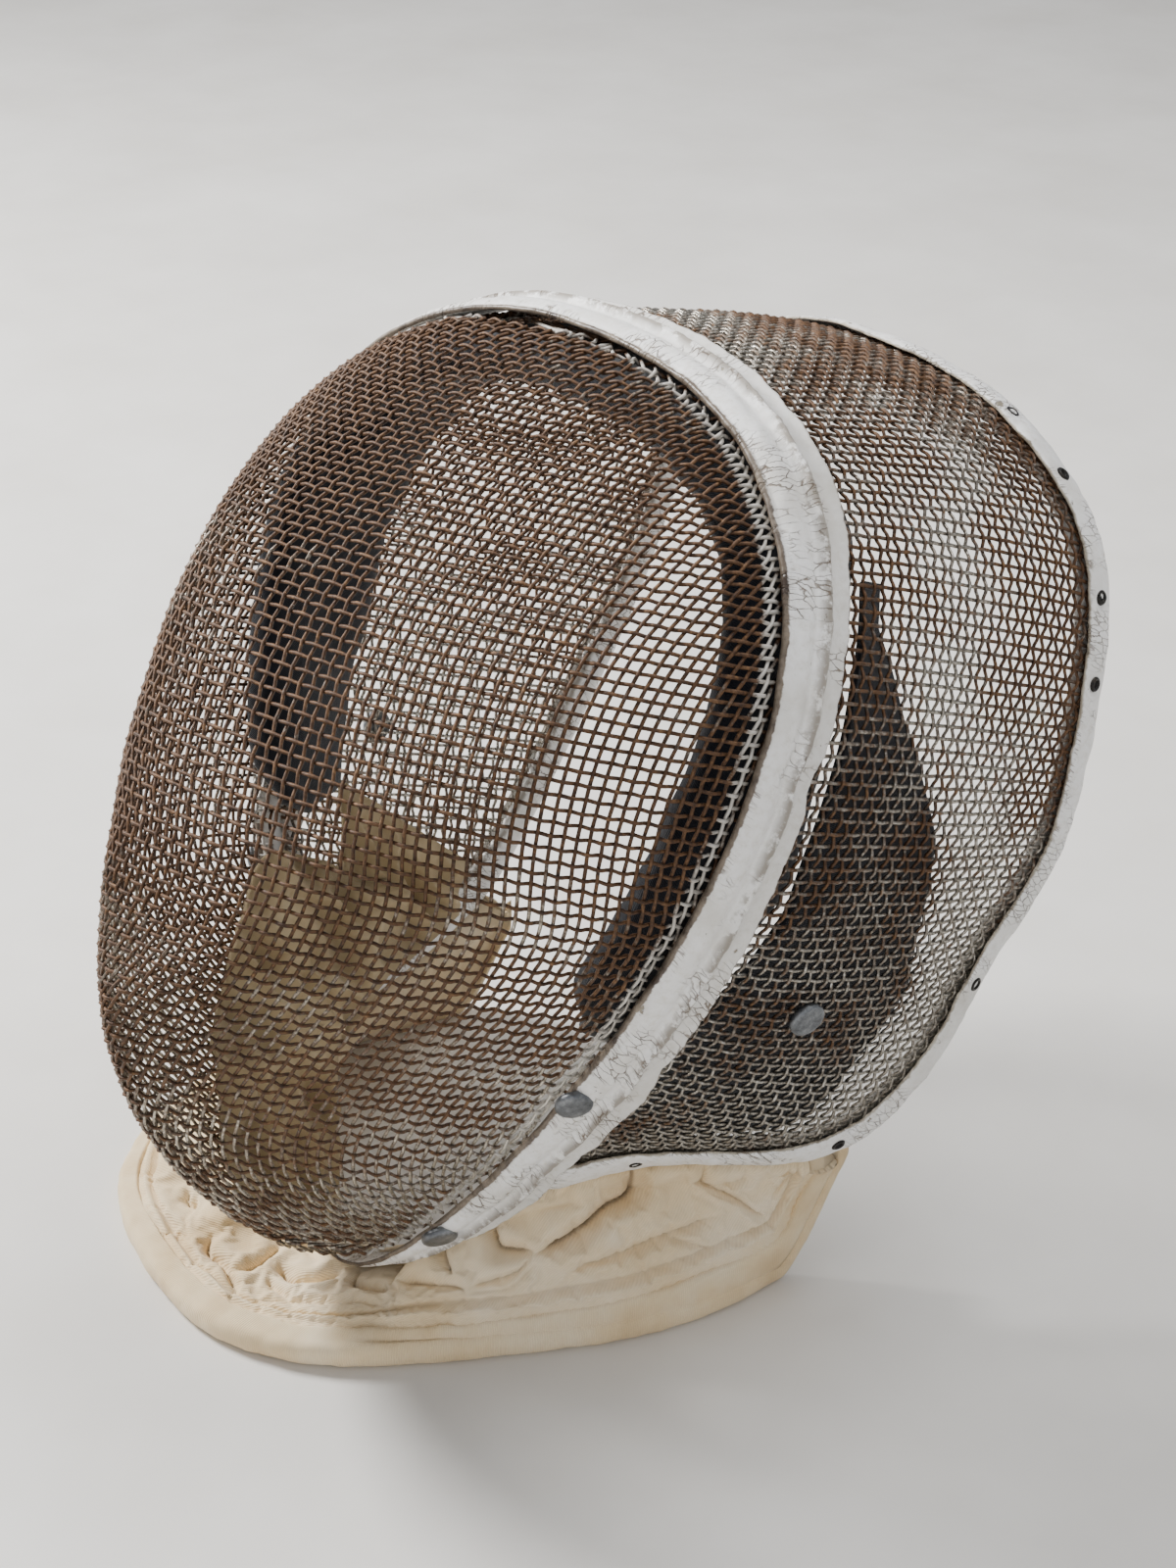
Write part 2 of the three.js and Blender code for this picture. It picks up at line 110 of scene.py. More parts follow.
def unit(v):
    return v / np.maximum(np.linalg.norm(v, axis=-1, keepdims=True), 1e-9)


def mask_point(across, up, out):
    base = np.array([0, 0, RIM_CENTRE_HEIGHT])
    return base + np.multiply.outer(across, ACROSS) + np.multiply.outer(up, UP) + np.multiply.outer(out, OUT)


def rim_values(angle):
    """Across, up and out of the rim, at angles round it from the crown."""
    height = np.cos(angle)
    reach = RIM_HALF_WIDTH * powered(np.sin(angle), RIM_ROUNDNESS)
    bow = (RIM_BOW + RIM_SWAY * height) * (1 - height**2)
    return reach * (1 + RIM_TAPER * height), RIM_HALF_HEIGHT * height, bow


def dome_point(angle, rise):
    across, up, out = rim_values(angle)
    lift = np.clip(rise, 0, 1) * math.pi / 2
    spread = np.maximum(np.cos(lift), 0) ** DOME_SHOULDER * (1 - DOME_PINCH * np.sin(2 * lift))
    depth = np.sin(lift) ** DOME_RISE
    height = -NOSE_DROP + (up + NOSE_DROP) * spread
    return mask_point(across * spread, height, out + (DOME_DEPTH - out) * depth)


def rear_point(angle):
    edge = between(REAR_EDGE, 1 - np.abs(angle) / SIDE_END, np.array([1, 1, -1]))
    return mask_point(np.sign(angle) * edge[..., 2], edge[..., 1], -edge[..., 0])


def rim_point(angle):
    return mask_point(*rim_values(angle))


def side_depth(angle):
    return np.linalg.norm(rim_point(angle) - rear_point(angle), axis=-1)


def side_point(angle, back):
    depth = side_depth(angle)
    share = (back / depth)[..., None]
    point = rim_point(angle) * (1 - share) + rear_point(angle) * share
    away = point - mask_point(0.0, 0.0, 0.0)
    away = unit(away - (away @ OUT)[..., None] * OUT)
    return point + away * (SIDE_SWELL * depth[..., None] * 4 * np.maximum(0, share * (1 - share)))


def chin_point(angle, back):
    end = np.sign(angle) * SIDE_END
    from_cheek = unit(rear_point(end) - rim_point(end))
    share = smooth(np.abs(angle), SIDE_END, math.pi)[..., None]
    direction = unit(from_cheek * (1 - share) + np.array([0, 1.0, 0]) * share)
    return rim_point(angle) + direction * back[..., None]


RISES = np.linspace(0, 1, 81)


def wall_point(angle, back):
    """The middle of the mask's wall at a distance behind the rim; negative distances are on the dome."""
    angle, back = np.broadcast_arrays(np.asarray(angle, float), np.asarray(back, float))
    behind = np.maximum(back, 0)
    is_side = (np.abs(angle) <= SIDE_END)[..., None]
    point = np.where(is_side, side_point(angle, behind), chin_point(angle, behind))
    flat, reach = angle.ravel(), -back.ravel()
    on_dome = reach > 0
    if on_dome.any():
        spots = dome_point(flat[on_dome][:, None], RISES[None, :])
        walked = np.cumsum(np.linalg.norm(np.diff(spots, axis=1), axis=-1), axis=1)
        walked = np.hstack([np.zeros((len(walked), 1)), walked])
        rises = np.array([np.interp(r, w, RISES) for r, w in zip(reach[on_dome], walked)])
        point.reshape(-1, 3)[on_dome] = dome_point(flat[on_dome], rises)
    return point


def pushed(point, around, along, offset):
    """A point moved off a surface with these two directions in it, outwards where the offset is positive."""
    normal = unit(np.cross(around, along))
    facing = np.sign(np.sum(normal * (point - MIDDLE), axis=-1))
    return point + normal * (facing * offset)[..., None]


SMALL_TURN, SMALL_REACH = 0.01, 1.5


def off_wall(angle, back, offset):
    angle, back, offset = np.broadcast_arrays(*(np.asarray(x, float) for x in (angle, back, offset)))
    around = wall_point(angle + SMALL_TURN, back) - wall_point(angle - SMALL_TURN, back)
    along = wall_point(angle, back + SMALL_REACH) - wall_point(angle, back - SMALL_REACH)
    return pushed(wall_point(angle, back), around, along, offset)


def off_dome(angle, rise, offset):
    level = rise + 0 * angle
    around = dome_point(angle + SMALL_TURN, level) - dome_point(angle - SMALL_TURN, level)
    along = dome_point(angle, rise + SMALL_TURN) - dome_point(angle, np.maximum(0, rise - SMALL_TURN))
    return pushed(dome_point(angle, rise), around, along, offset)


def packed_shift():
    """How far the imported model, which stands with its origin under its middle, lies from the shape above."""
    angles = np.radians(np.arange(-180, 180, 6))
    outer = off_dome(angles[:, None], (np.arange(12) / 12)[None, :], 1.0).reshape(-1, 3)
    low = np.array(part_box("face_mesh")[0]) / MM
    return np.array([0, low[1] - outer[:, 1].min(), low[2] - outer[:, 2].min()])


SHIFT = packed_shift()


# ---- meshes ----
def object_from(name, points, faces, material, flat_coordinates=None):
    """A smooth-shaded object; flat_coordinates are one (u, v) in metres for each vertex, for its textures."""
    mesh = bpy.data.meshes.new(name)
    placed = (np.asarray(points, float).reshape(-1, 3) + SHIFT) * MM
    mesh.from_pydata(placed.tolist(), [], faces)
    mesh.update()
    mesh.shade_smooth()
    if flat_coordinates is not None:
        layer = mesh.uv_layers.new(name="flat")
        corner = np.zeros(len(mesh.loops), np.int32)
        mesh.loops.foreach_get("vertex_index", corner)
        values = np.asarray(flat_coordinates, np.float32).reshape(-1, 2)[corner]
        layer.data.foreach_set("uv", values.ravel())
    made = bpy.data.objects.new(name, mesh)
    bpy.context.scene.collection.objects.link(made)
    made.data.materials.append(material)
    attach(made, "root")
    return made


def mark(made, name, values):
    """Gives each vertex a number that a material can read."""
    layer = made.data.attributes.new(name, "FLOAT", "POINT")
    layer.data.foreach_set("value", np.asarray(values, np.float32).ravel())


def grid_faces(rows, columns, ring_rows=False, ring_columns=False):
    """Quads of a grid of rows by columns; either way round it may close on itself."""
    faces = []
    for i in range(rows if ring_rows else rows - 1):
        for j in range(columns if ring_columns else columns - 1):
            k, m = (i + 1) % rows, (j + 1) % columns
            faces.append((i * columns + j, k * columns + j, k * columns + m, i * columns + m))
    return faces


def lengths(points, axis=0):
    """Distance walked along one axis of a grid of points, on the average of the other."""
    step = np.linalg.norm(np.diff(points, axis=axis), axis=-1).mean(axis=1 - axis)
    return np.concatenate([[0], np.cumsum(step)])


def swept(name, sections, material, ring=False, across=None):
    """A closed solid from closed sections; its ends are capped unless it is a ring."""
    rows, columns = sections.shape[:2]
    faces = grid_faces(rows, columns, ring, True)
    if not ring:
        faces.append(tuple(range(columns)))
        faces.append(tuple(range((rows - 1) * columns, rows * columns))[::-1])
    u = lengths(sections)
    v = lengths(sections, axis=1) if across is None else across
    flat = np.stack(np.broadcast_arrays(u[:, None], v[None, :]), axis=-1) * MM
    made = object_from(name, sections, faces, material, flat)
    outward(made)
    return made


def coordinates(mesh):
    values = np.zeros(len(mesh.vertices) * 3)
    mesh.vertices.foreach_get("co", values)
    return values.reshape(-1, 3)


def outward(made):
    """Turns the faces of a closed object outwards."""
    mesh = made.data
    mesh.calc_loop_triangles()
    corner = np.zeros(len(mesh.loop_triangles) * 3, np.int32)
    mesh.loop_triangles.foreach_get("vertices", corner)
    a, b, c = coordinates(mesh)[corner.reshape(-1, 3)].transpose(1, 0, 2)
    if np.sum(a * np.cross(b, c)) < 0:
        mesh.flip_normals()


def lumps(points, size, amount, seed=0.0, octaves=3):
    """Smooth uneven values of a size and an amount in millimetres, one for each point."""
    flat = np.asarray(points, float).reshape(-1, 3) / size + seed
    values = [noise.fractal(Vector(p), 0.9, 2.0, octaves) for p in flat.tolist()]
    return np.array(values).reshape(np.asarray(points).shape[:-1]) * amount


def uneven(points, *layers):
    return sum(lumps(points, *layer) for layer in layers)


# ---- woven wire ----
WIRE_RADIUS = 0.55
ROW_SPACING, ROW_CROWDING = 3.5, 0.38
STEP_ALONG, STEP_GROWTH, WIDER_STEPS = 3.3, 0.1, 0.36
WEFT_SLOPE = 0.17
WARP_CRIMP, WEFT_CRIMP = 0.34, 0.58
WIRE_SIDES = 5
# The face wires are found on the dome and on a strip behind the rim, and end a little way under the band.
EXTENDED, TUCKED, STRIP_OFFSET = 14, 6, -1.2
# The weft starts and ends this far beyond the rim, and lies closer over the brow, between two heights.
BEYOND_RIM, BROW_FROM, BROW_TO = 24, 30, 125
SWEEP, MOST_WARPS, TOO_SHORT = 118, 110, 6
# Distance of the first counted warp wire from the middle, and how much less it is at the mouth and brow.
CHEEK_WIRE, LESS_BELOW, LESS_ABOVE = 68, 43, 17
# How far apart the wires lie in the flat coordinates of their texture.
APART = 40
# Unevenness of the wires and of all surfaces below: (size, amount, seed, octaves).
WIRE_DENTS, WIRE_SWAY, WIRE_THINNING = (30, 0.7, 4.0, 2), (22, 0.28, 9.0, 1), (2.5, 0.09, 2.0, 1)
# How near to the band's edges the wires are painted: fully, and at all.
PAINTED, PAINT_ENDS = 1.5, 6.0


def tree_of(points, ring):
    """A search tree of a grid of points; with ring its columns close on themselves."""
    faces = [(a, d, c, b) for a, b, c, d in grid_faces(*points.shape[:2], ring_columns=ring)]
    return BVHTree.FromPolygons(points.reshape(-1, 3).tolist(), faces)


def struck(tree, origin, direction):
    """What a ray meets first: (point, normal along the ray) and the number of the face, or None twice."""
    place, normal, face, _ = tree.ray_cast(origin, direction)
    if place is None:
        return None, None
    return (place, normal if normal.dot(direction) > 0 else -normal), face


def cheek_wire(up):
    """How far across the first counted warp wire lies at heights along the mask."""
    below = LESS_BELOW * smooth(-up, -10, 112)
    above = LESS_ABOVE * smooth(up, 0, 85)
    return CHEEK_WIRE - below - above


def face_surface():
    """The dome and a strip behind its rim, as a search tree, with the reach behind the rim of each row."""
    angles = np.radians(np.arange(-180, 180, 1.5))
    rises = np.linspace(0.999, 0, 90)
    dome = dome_point(angles[None, :], rises[:, None])
    strips = np.linspace(1, EXTENDED, 8)
    strip = off_wall(angles[None, :], strips[:, None], STRIP_OFFSET)
    tree = tree_of(np.concatenate([dome, strip]), True)
    reach = np.concatenate([np.full(len(rises), -1.0), strips])
    return tree, reach, len(angles)


def gathered(hits):
    """Unbroken runs of hits of at least a few points: (first index, points, normals)."""
    run = []
    for i, hit in enumerate([*hits, None]):
        if hit is not None:
            run.append(hit)
            continue
        if len(run) > TOO_SHORT:
            yield i - len(run), np.array([h[0] for h in run]), np.array([h[1] for h in run])
        run = []


def steps(even, wider):
    """Distances of the warps from the first counted one; they are wider apart over the brow and cheeks."""
    gone = [0.0]
    for _ in range(MOST_WARPS):
        spread = smooth(gone[-1], 15, 50) * (1 - smooth(gone[-1], 110, 150))
        gone.append(gone[-1] + even * (1 + wider * spread))
    return np.array(gone)


CAST_FROM = (0, -12, -24, -36, -48, 12, 24, 36)


class Net:
    """Where the wires of the face mesh cross.

    The weft lies in parallel planes that run a little uphill to the wearer's left. Along each weft
    wire the warps cross at even steps, counted from one warp wire down the wearer's left cheek.
    """

    def __init__(self):
        self.tree, self.reach, self.columns = face_surface()
        self.points = {}
        self.normals = {}
        self.guide = None
        height = -RIM_HALF_HEIGHT - BEYOND_RIM
        row = 0
        while height < RIM_HALF_HEIGHT + BEYOND_RIM:
            self.lay_row(row, height)
            height += ROW_SPACING * (1 - ROW_CROWDING * smooth(height, BROW_FROM, BROW_TO))
            row += 1

    def lay_row(self, row, height):
        """One weft row, cast from whichever place along it meets the most of the dome."""
        casts = [self.cast(height, aside) for aside in CAST_FROM]
        best = max(casts, key=lambda hits: sum(hit is not None for hit in hits))
        for _, points, normals in gathered(best):
            self.cross(row, points, normals)

    def cast(self, height, aside):
        line = unit(ACROSS + WEFT_SLOPE * UP)
        origin = Vector(mask_point(aside, height + WEFT_SLOPE * aside, -10.0))
        hits = []
        for turn in np.radians(np.arange(-SWEEP, SWEEP, 1.0)):
            direction = Vector(OUT * math.cos(turn) + line * math.sin(turn))
            hit, face = struck(self.tree, origin, direction)
            hits.append(hit if hit and self.reach[face // self.columns] < TUCKED else None)
        return hits

    def cross(self, row, points, normals):
        walked = lengths(points[:, None])
        up = (points - mask_point(0.0, 0.0, 0.0)) @ UP
        past = points[:, 0] - cheek_wire(up)
        middle = float(up.mean())
        even = STEP_ALONG * (1 + STEP_GROWTH * smooth(middle, 0, 90))
        wider = WIDER_STEPS * smooth(middle, -40, 20) * (1 - 0.35 * smooth(middle, 60, 110))
        leftward, rightward = steps(even, 0.0), steps(even, wider)
        if past[-1] < 0 and self.guide:
            number, across = self.guide
            start = np.interp(across, points[:, 0], walked) + rightward[-number]
        else:
            start = np.interp(0, past, walked) - max(0, past[0])
        for sign, gone in ((1, leftward), (-1, rightward)):
            for number, at in enumerate(start + sign * gone):
                if 0 <= at <= walked[-1] and (number or sign > 0):
                    key = (number * sign, row)
                    self.points[key] = np.array([np.interp(at, walked, points[:, k]) for k in range(3)])
                    self.normals[key] = np.array([np.interp(at, walked, normals[:, k]) for k in range(3)])
        here = [key for key in self.points if key[1] == row and key[0] < 0]
        if here:
            nearest = min(here, key=lambda key: abs(self.points[key][0]))
            self.guide = (nearest[0], self.points[nearest][0])

    def runs(self, along):
        """Unbroken rows of crossings, as lists of (warp, weft): along 1 follows the warps and 0 the weft."""
        lines = {}
        for key in self.points:
            lines.setdefault(key[1 - along], []).append(key)
        for line in lines.values():
            line.sort(key=lambda key: key[along])
            run = [line[0]]
            for key in line[1:]:
                if key[along] != run[-1][along] + 1:
                    yield run
                    run = []
                run.append(key)
            yield run


def refined(values, parts):
    """Catmull-Rom values between rows, with the given number of parts to each step."""
    spans = len(values) - 1
    return between(values, np.linspace(0, 1, spans * parts + 1))


def face_wires(net, family, parts):
    crimp = WARP_CRIMP if family == "warp" else -WEFT_CRIMP
    along = 1 if family == "warp" else 0
    wires = []
    for run in net.runs(along):
        if len(run) < 3:
            continue
        points = refined(np.array([net.points[k] for k in run]), parts)
        normals = unit(refined(np.array([net.normals[k] for k in run]), parts))
        place = run[0][along] + np.arange(len(points)) / parts
        parity = 1 if run[0][1 - along] % 2 == 0 else -1
        lift = crimp * parity * np.cos(math.pi * place)
        wires.append((points, normals, lift, run[0][1 - along]))
    return wires


# The side wires run round and back from an axis through the head, from under the band to under the trim.
SIDE_AXIS_UP = 15
UNDER_BAND, UNDER_TRIM = 12, 2.6
SIDE_FRONT, SIDE_BACK = -14, 150
AROUND_PITCH, BACK_PITCH = 3.6, 3.48
# The turns of the wires that run back are counted this far behind the rim, or nearer where that misses.
COUNTED_AT = (55, 15, 0)


def side_surface():
    angles = np.linspace(-SIDE_END, SIDE_END, 265)
    depth = side_depth(angles)
    shares = np.linspace(0, 1, 26)
    backs = UNDER_BAND + shares[:, None] * (depth[None, :] - UNDER_TRIM - UNDER_BAND)
    return tree_of(off_wall(angles[None, :], backs, 0.0), False)


def side_hit(tree, turn, behind):
    origin = Vector(mask_point(0.0, SIDE_AXIS_UP, -behind))
    direction = Vector(UP * math.cos(turn) + ACROSS * math.sin(turn))
    return struck(tree, origin, direction)[0]


def side_turns(tree):
    """Turns about the head's axis at equal distances round the middle of the side mesh."""
    fine = np.radians(np.arange(0, 150, 0.5))
    turns, walked, before = [0.0], [0.0], None
    for turn in fine:
        hit = next(filter(None, (side_hit(tree, turn, behind) for behind in COUNTED_AT)), None)
        if hit is None:
            break
        if before is not None:
            turns.append(turn)
            walked.append(walked[-1] + (hit[0] - before).length)
        before = hit[0]
    count = int(walked[-1] / BACK_PITCH) + 3
    slope = (turns[-1] - turns[-20]) / (walked[-1] - walked[-20])
    wanted = np.arange(count) * BACK_PITCH
    found = np.interp(wanted, walked, turns) + np.maximum(0, wanted - walked[-1]) * slope
    return np.concatenate([-found[:0:-1], found])


def side_wires(tree, turns, family, parts):
    """Wires of one family: around the head at distances behind the rim, or back at turns about the head."""
    behinds = np.arange(SIDE_FRONT, SIDE_BACK, AROUND_PITCH)
    goes_around = family == "around"
    lines, stations = (behinds, turns) if goes_around else (turns, behinds)
    crimp = WEFT_CRIMP if goes_around else -WARP_CRIMP
    fine = np.interp(np.arange((len(stations) - 1) * parts + 1) / parts, np.arange(len(stations)), stations)
    wires = []
    for number, line in enumerate(lines):
        hits = [side_hit(tree, at, line) if goes_around else side_hit(tree, line, at) for at in fine]
        for first, points, normals in gathered(hits):
            place = (first + np.arange(len(points))) / parts
            lift = crimp * (-1) ** number * np.cos(math.pi * place)
            wires.append((points, normals, lift, number))
    return wires


def leather_edges():
    """Points along both edges of the seam band, where paint has run onto the wires."""
    angles = np.radians(np.arange(-180, 180, 1.5))
    return np.concatenate([off_wall(angles, 0.0, 0.0), off_wall(angles, band_width(angles), 0.0)])


def tubes(name, wires, material):
    """One mesh of many wires, each a round tube along its line."""
    vertices, faces, flat, painted = [], [], [], []
    edges = leather_edges()
    start = 0
    around = np.arange(WIRE_SIDES) / WIRE_SIDES * TAU
    for points, normals, lift, number in wires:
        tangent = unit(np.gradient(points, axis=0))
        beside = unit(np.cross(tangent, normals))
        normal = np.cross(beside, tangent)
        sway = uneven(points + number * 17.0, WIRE_SWAY)
        middle = points + normal * (lift + uneven(points, WIRE_DENTS))[:, None] + beside * sway[:, None]
        radius = WIRE_RADIUS * (1 + uneven(points + number * 31.0, WIRE_THINNING))
        ring = normal[:, None, :] * np.cos(around)[None, :, None]
        ring = ring + beside[:, None, :] * np.sin(around)[None, :, None]
        rings = middle[:, None, :] + ring * radius[:, None, None]
        count = len(points)
        vertices.append(rings.reshape(-1, 3))
        off_edge = np.linalg.norm(middle[:, None] - edges[None], axis=-1).min(axis=1)
        painted.append(np.repeat(1 - smooth(off_edge, PAINTED, PAINT_ENDS), WIRE_SIDES))
        index = start + np.arange(count * WIRE_SIDES).reshape(count, WIRE_SIDES)
        quads = np.stack([index[:-1], index[1:], np.roll(index[1:], -1, 1), np.roll(index[:-1], -1, 1)], -1)
        faces += quads.reshape(-1, 4).tolist()
        faces.append(index[0].tolist())
        faces.append(index[-1][::-1].tolist())
        laid = np.broadcast_arrays(lengths(middle[:, None])[:, None] + number * APART, around[None, :])
        flat.append(np.stack(laid, -1).reshape(-1, 2) * MM)
        start += count * WIRE_SIDES
    made = object_from(name, np.concatenate(vertices), faces, material, np.concatenate(flat))
    mark(made, "painted", np.concatenate(painted))
    return made


# ---- leather ----
MESH_FACE = 1.6
BAND_START, BAND_WIDTH, BAND_CHIN_WIDTH = 0.6, 24, 11
BAND_NARROWS_FROM = math.radians(115)
BAND_STATIONS = 1080
BAND_RAGGED, BAND_TATTERED, BAND_FRONT_RAGGED = (9, 0.9, 3.0, 4), (2.2, 0.45, 7.0, 2), (14, 0.5, 11.0, 3)
BAND_ROUGH, BAND_WAVY = (7, 0.22, 5.0, 4), (24, 0.35, 15.0, 2)


def band_width(angle):
    share = smooth(np.abs(angle), BAND_NARROWS_FROM, math.pi)
    return BAND_WIDTH + (BAND_CHIN_WIDTH - BAND_WIDTH) * share


# Height of the band over the mesh from its front edge to its back edge: (share of width, millimetres).
# A thin bare edge comes first, then a full front half, a crease with a ridge, and a thinner back half.
BAND_SECTION = np.array(
    [(0.0, 0.2), (0.0, 1.3), (0.02, 1.8), (0.05, 1.9), (0.065, 1.7), (0.085, 2.2), (0.12, 2.8)]
    + [(0.18, 3.3), (0.26, 3.6), (0.34, 3.4), (0.41, 2.7), (0.46, 2.2), (0.50, 2.7), (0.54, 4.1)]
    + [(0.58, 4.8), (0.62, 4.4), (0.67, 2.9), (0.73, 2.0), (0.80, 2.0), (0.87, 2.1), (0.92, 2.8)]
    + [(0.95, 3.0), (0.98, 2.5), (1.0, 1.9), (1.0, 0.7), (0.97, 0.4), (0.5, 0.2)]
)
# Notches torn in its back edge: (degrees round the rim, depth in millimetres, reach in degrees).
NOTCHES = [(62, 2.6, 3.0), (98, 2.2, 2.2), (121, 1.8, 2.5)]


def seam_band(material):
    angles = np.linspace(-math.pi, math.pi, BAND_STATIONS + 1)[:-1]
    share, height = BAND_SECTION[:, 0], BAND_SECTION[:, 1]
    width = band_width(angles)
    around = wall_point(angles, BAND_WIDTH / 2)
    ragged = uneven(around, BAND_RAGGED, BAND_TATTERED)
    torn = sum(depth * np.exp(-(((np.degrees(angles) - at) / reach) ** 2)) for at, depth, reach in NOTCHES)
    front = uneven(around, BAND_FRONT_RAGGED)
    wide = (width - 0.9 + ragged - torn)[:, None]
    back = BAND_START + 0.5 + front[:, None] * (1 - share) + share * wide
    flat_chin = 1 - 0.35 * smooth(np.abs(angles), math.radians(140), math.radians(170))[:, None]
    sections = off_wall(angles[:, None], back, MESH_FACE + height[None, :] * flat_chin)
    rough = uneven(sections, BAND_ROUGH, BAND_WAVY)
    top = (height > 1)[None, :, None]
    normal = unit(off_wall(angles[:, None], back, 3.0) - off_wall(angles[:, None], back, 2.0))
    sections = sections + normal * rough[..., None] * top
    return swept("seam_band_leather", sections, material, ring=True, across=share * BAND_WIDTH)


TRIM_WIDTH, TRIM_SKIN, TRIM_END = 9, 3.3, math.radians(126)
TRIM_LAP, TRIM_LAP_BELOW = 2.5, 12
TRIM_RAGGED, TRIM_TATTERED, TRIM_SWELL = (10, 0.7, 13.0, 3), (2.5, 0.3, 17.0, 2), (9, 0.16, 19.0, 3)


def trim_width(angle):
    """The trim's leather laps a little over the mesh, and more along the bottom of the cheeks."""
    return TRIM_WIDTH + TRIM_LAP + TRIM_LAP_BELOW * smooth(np.abs(angle), math.radians(88), math.radians(112))


def trim_profile():
    """The trim's channel section: (distance back from its front edge, height off the mesh)."""
    inner, outer = MESH_FACE, TRIM_SKIN
    fold = TRIM_WIDTH - (outer - inner)
    bends = np.radians(np.linspace(90, -90, 9))
    skin = [(TRIM_WIDTH - outer + outer * math.cos(b), outer * math.sin(b)) for b in bends]
    hollow = [(fold - inner + inner * math.cos(b), inner * math.sin(b)) for b in bends[::-2]]
    outside = [(0.0, inner), (0.0, inner + 0.5), (0.5, outer - 0.7), (2.0, outer - 0.2), (4.0, outer)]
    under = [(4.0, -outer), (2.0, -outer), (0.3, -outer), (0.0, -outer + 0.5), (0.0, -inner)]
    return np.array(outside + skin + under + hollow)


def eyelet_back(degrees):
    """How far behind the rim an eyelet of the trim sits."""
    angle = np.radians([degrees])
    return float(side_depth(angle)[0] - EYELET_SHARE * trim_width(angle)[0])


def rear_trim(material):
    angles = np.linspace(-TRIM_END, TRIM_END, 900)
    profile = trim_profile()
    start = side_depth(angles) - TRIM_WIDTH
    edge = wall_point(angles, start)
    ragged = uneven(edge, TRIM_RAGGED, TRIM_TATTERED)
    front = np.clip(1 - profile[:, 0] / 3, 0, 1)
    stretch = (trim_width(angles) - TRIM_WIDTH)[:, None] * (1 - profile[:, 0] / TRIM_WIDTH)
    back = start[:, None] + profile[None, :, 0] + ragged[:, None] * front - stretch
    heights = np.broadcast_to(profile[None, :, 1], back.shape)
    middle = off_wall(angles[:, None], back, 0.0)
    sections = off_wall(angles[:, None], back, heights)
    swell = 1 + uneven(sections, TRIM_SWELL)
    for degrees in TRIM_EYELETS:
        for sign in (1, -1):
            hole = wall_point(sign * math.radians(degrees), eyelet_back(degrees))
            near = np.linalg.norm(middle - hole, axis=-1)
            swell = swell - PUCKER * np.exp(-((near / PUCKER_REACH) ** 2))
    sections = middle + (sections - middle) * swell[..., None]
    return swept("rear_trim_leather", sections, material)


# ---- metal heads ----
# Degrees round the rim and distance behind it.
BAND_RIVETS = {"upper": (108.5, 3.5), "lower": (142, 4.5)}
SIDE_RIVET = (84, 65)
TRIM_EYELETS = [16, 24, 35, 40.5, 69, 96, 115]
EYELET_SHARE = 0.56
PUCKER, PUCKER_REACH = 0.22, 3.2
BAND_UNDER_RIVET = 2.9
# Radius, height, and shares of both from the rim to the middle.
RIVET_EDGE = [(0.97, -0.6), (1.0, 0.0), (1.0, 0.3), (0.96, 0.62)]
RIVET = (5.4, 1.5, RIVET_EDGE + [(0.88, 0.85), (0.7, 0.97), (0.4, 1.0), (0, 1.0)])
EYELET_RING = [(1.0, -0.8), (1.0, 0.1), (0.94, 0.6), (0.8, 0.95), (0.66, 0.95)]
EYELET = (2.3, 0.8, EYELET_RING + [(0.54, 0.6), (0.5, 0.15), (0.3, 0.05), (0, 0.05)])


def head(node, form, degrees, back, foot, material, seed):
    """A turned metal head standing on the wall, a little worn and not quite round."""
    radius, height, profile = form
    angle = math.radians(degrees)
    turns = np.radians(np.arange(0, 360, 7.5))
    base = off_wall(angle, back, foot)
    normal = unit(off_wall(angle, back, foot + 1.0) - base)
    beside = unit(np.cross(normal, UP + 0.01))
    other = np.cross(normal, beside)
    points = [base + normal * height * profile[-1][1]]
    for share, rise in profile[-2::-1]:
        ring = np.outer(np.cos(turns), beside) + np.outer(np.sin(turns), other)
        worn = 1 + lumps(ring * 2 + seed, 1.2, 0.025)[:, None]
        points.extend(base + normal * height * rise + ring * radius * share * worn)
    points = np.array(points)
    points = points + normal * lumps(points, 2.6, 0.09, seed)[:, None]
    count, rings = len(turns), len(profile) - 1
    faces = [(0, 1 + k, 1 + (k + 1) % count) for k in range(count)]
    faces += [tuple(1 + corner for corner in quad) for quad in grid_faces(rings, count, ring_columns=True)]
    last = 1 + (rings - 1) * count
    faces.append(tuple(last + k for k in range(count))[::-1])
    made = object_from(node + "_head", points, faces, material)
    outward(made)
    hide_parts(node)


def metal_heads(zinc, dark):
    on_band, on_mesh, on_trim = MESH_FACE + BAND_UNDER_RIVET, MESH_FACE + 0.2, TRIM_SKIN * (1 - PUCKER)
    for side, sign in (("left", 1), ("right", -1)):
        for level, (degrees, back) in BAND_RIVETS.items():
            node = f"band_rivet_{side}_{level}"
            head(node, RIVET, sign * degrees, back, on_band, zinc, degrees + sign)
        degrees, back = SIDE_RIVET
        head(f"side_rivet_{side}", RIVET, sign * degrees, back, on_mesh, zinc, sign * 3.0)
        for i, degrees in enumerate(TRIM_EYELETS):
            node, back, seed = f"trim_eyelet_{side}_{i + 1}", eyelet_back(degrees), i + sign * 0.5
            head(node, EYELET, sign * degrees, back, on_trim, dark, seed)


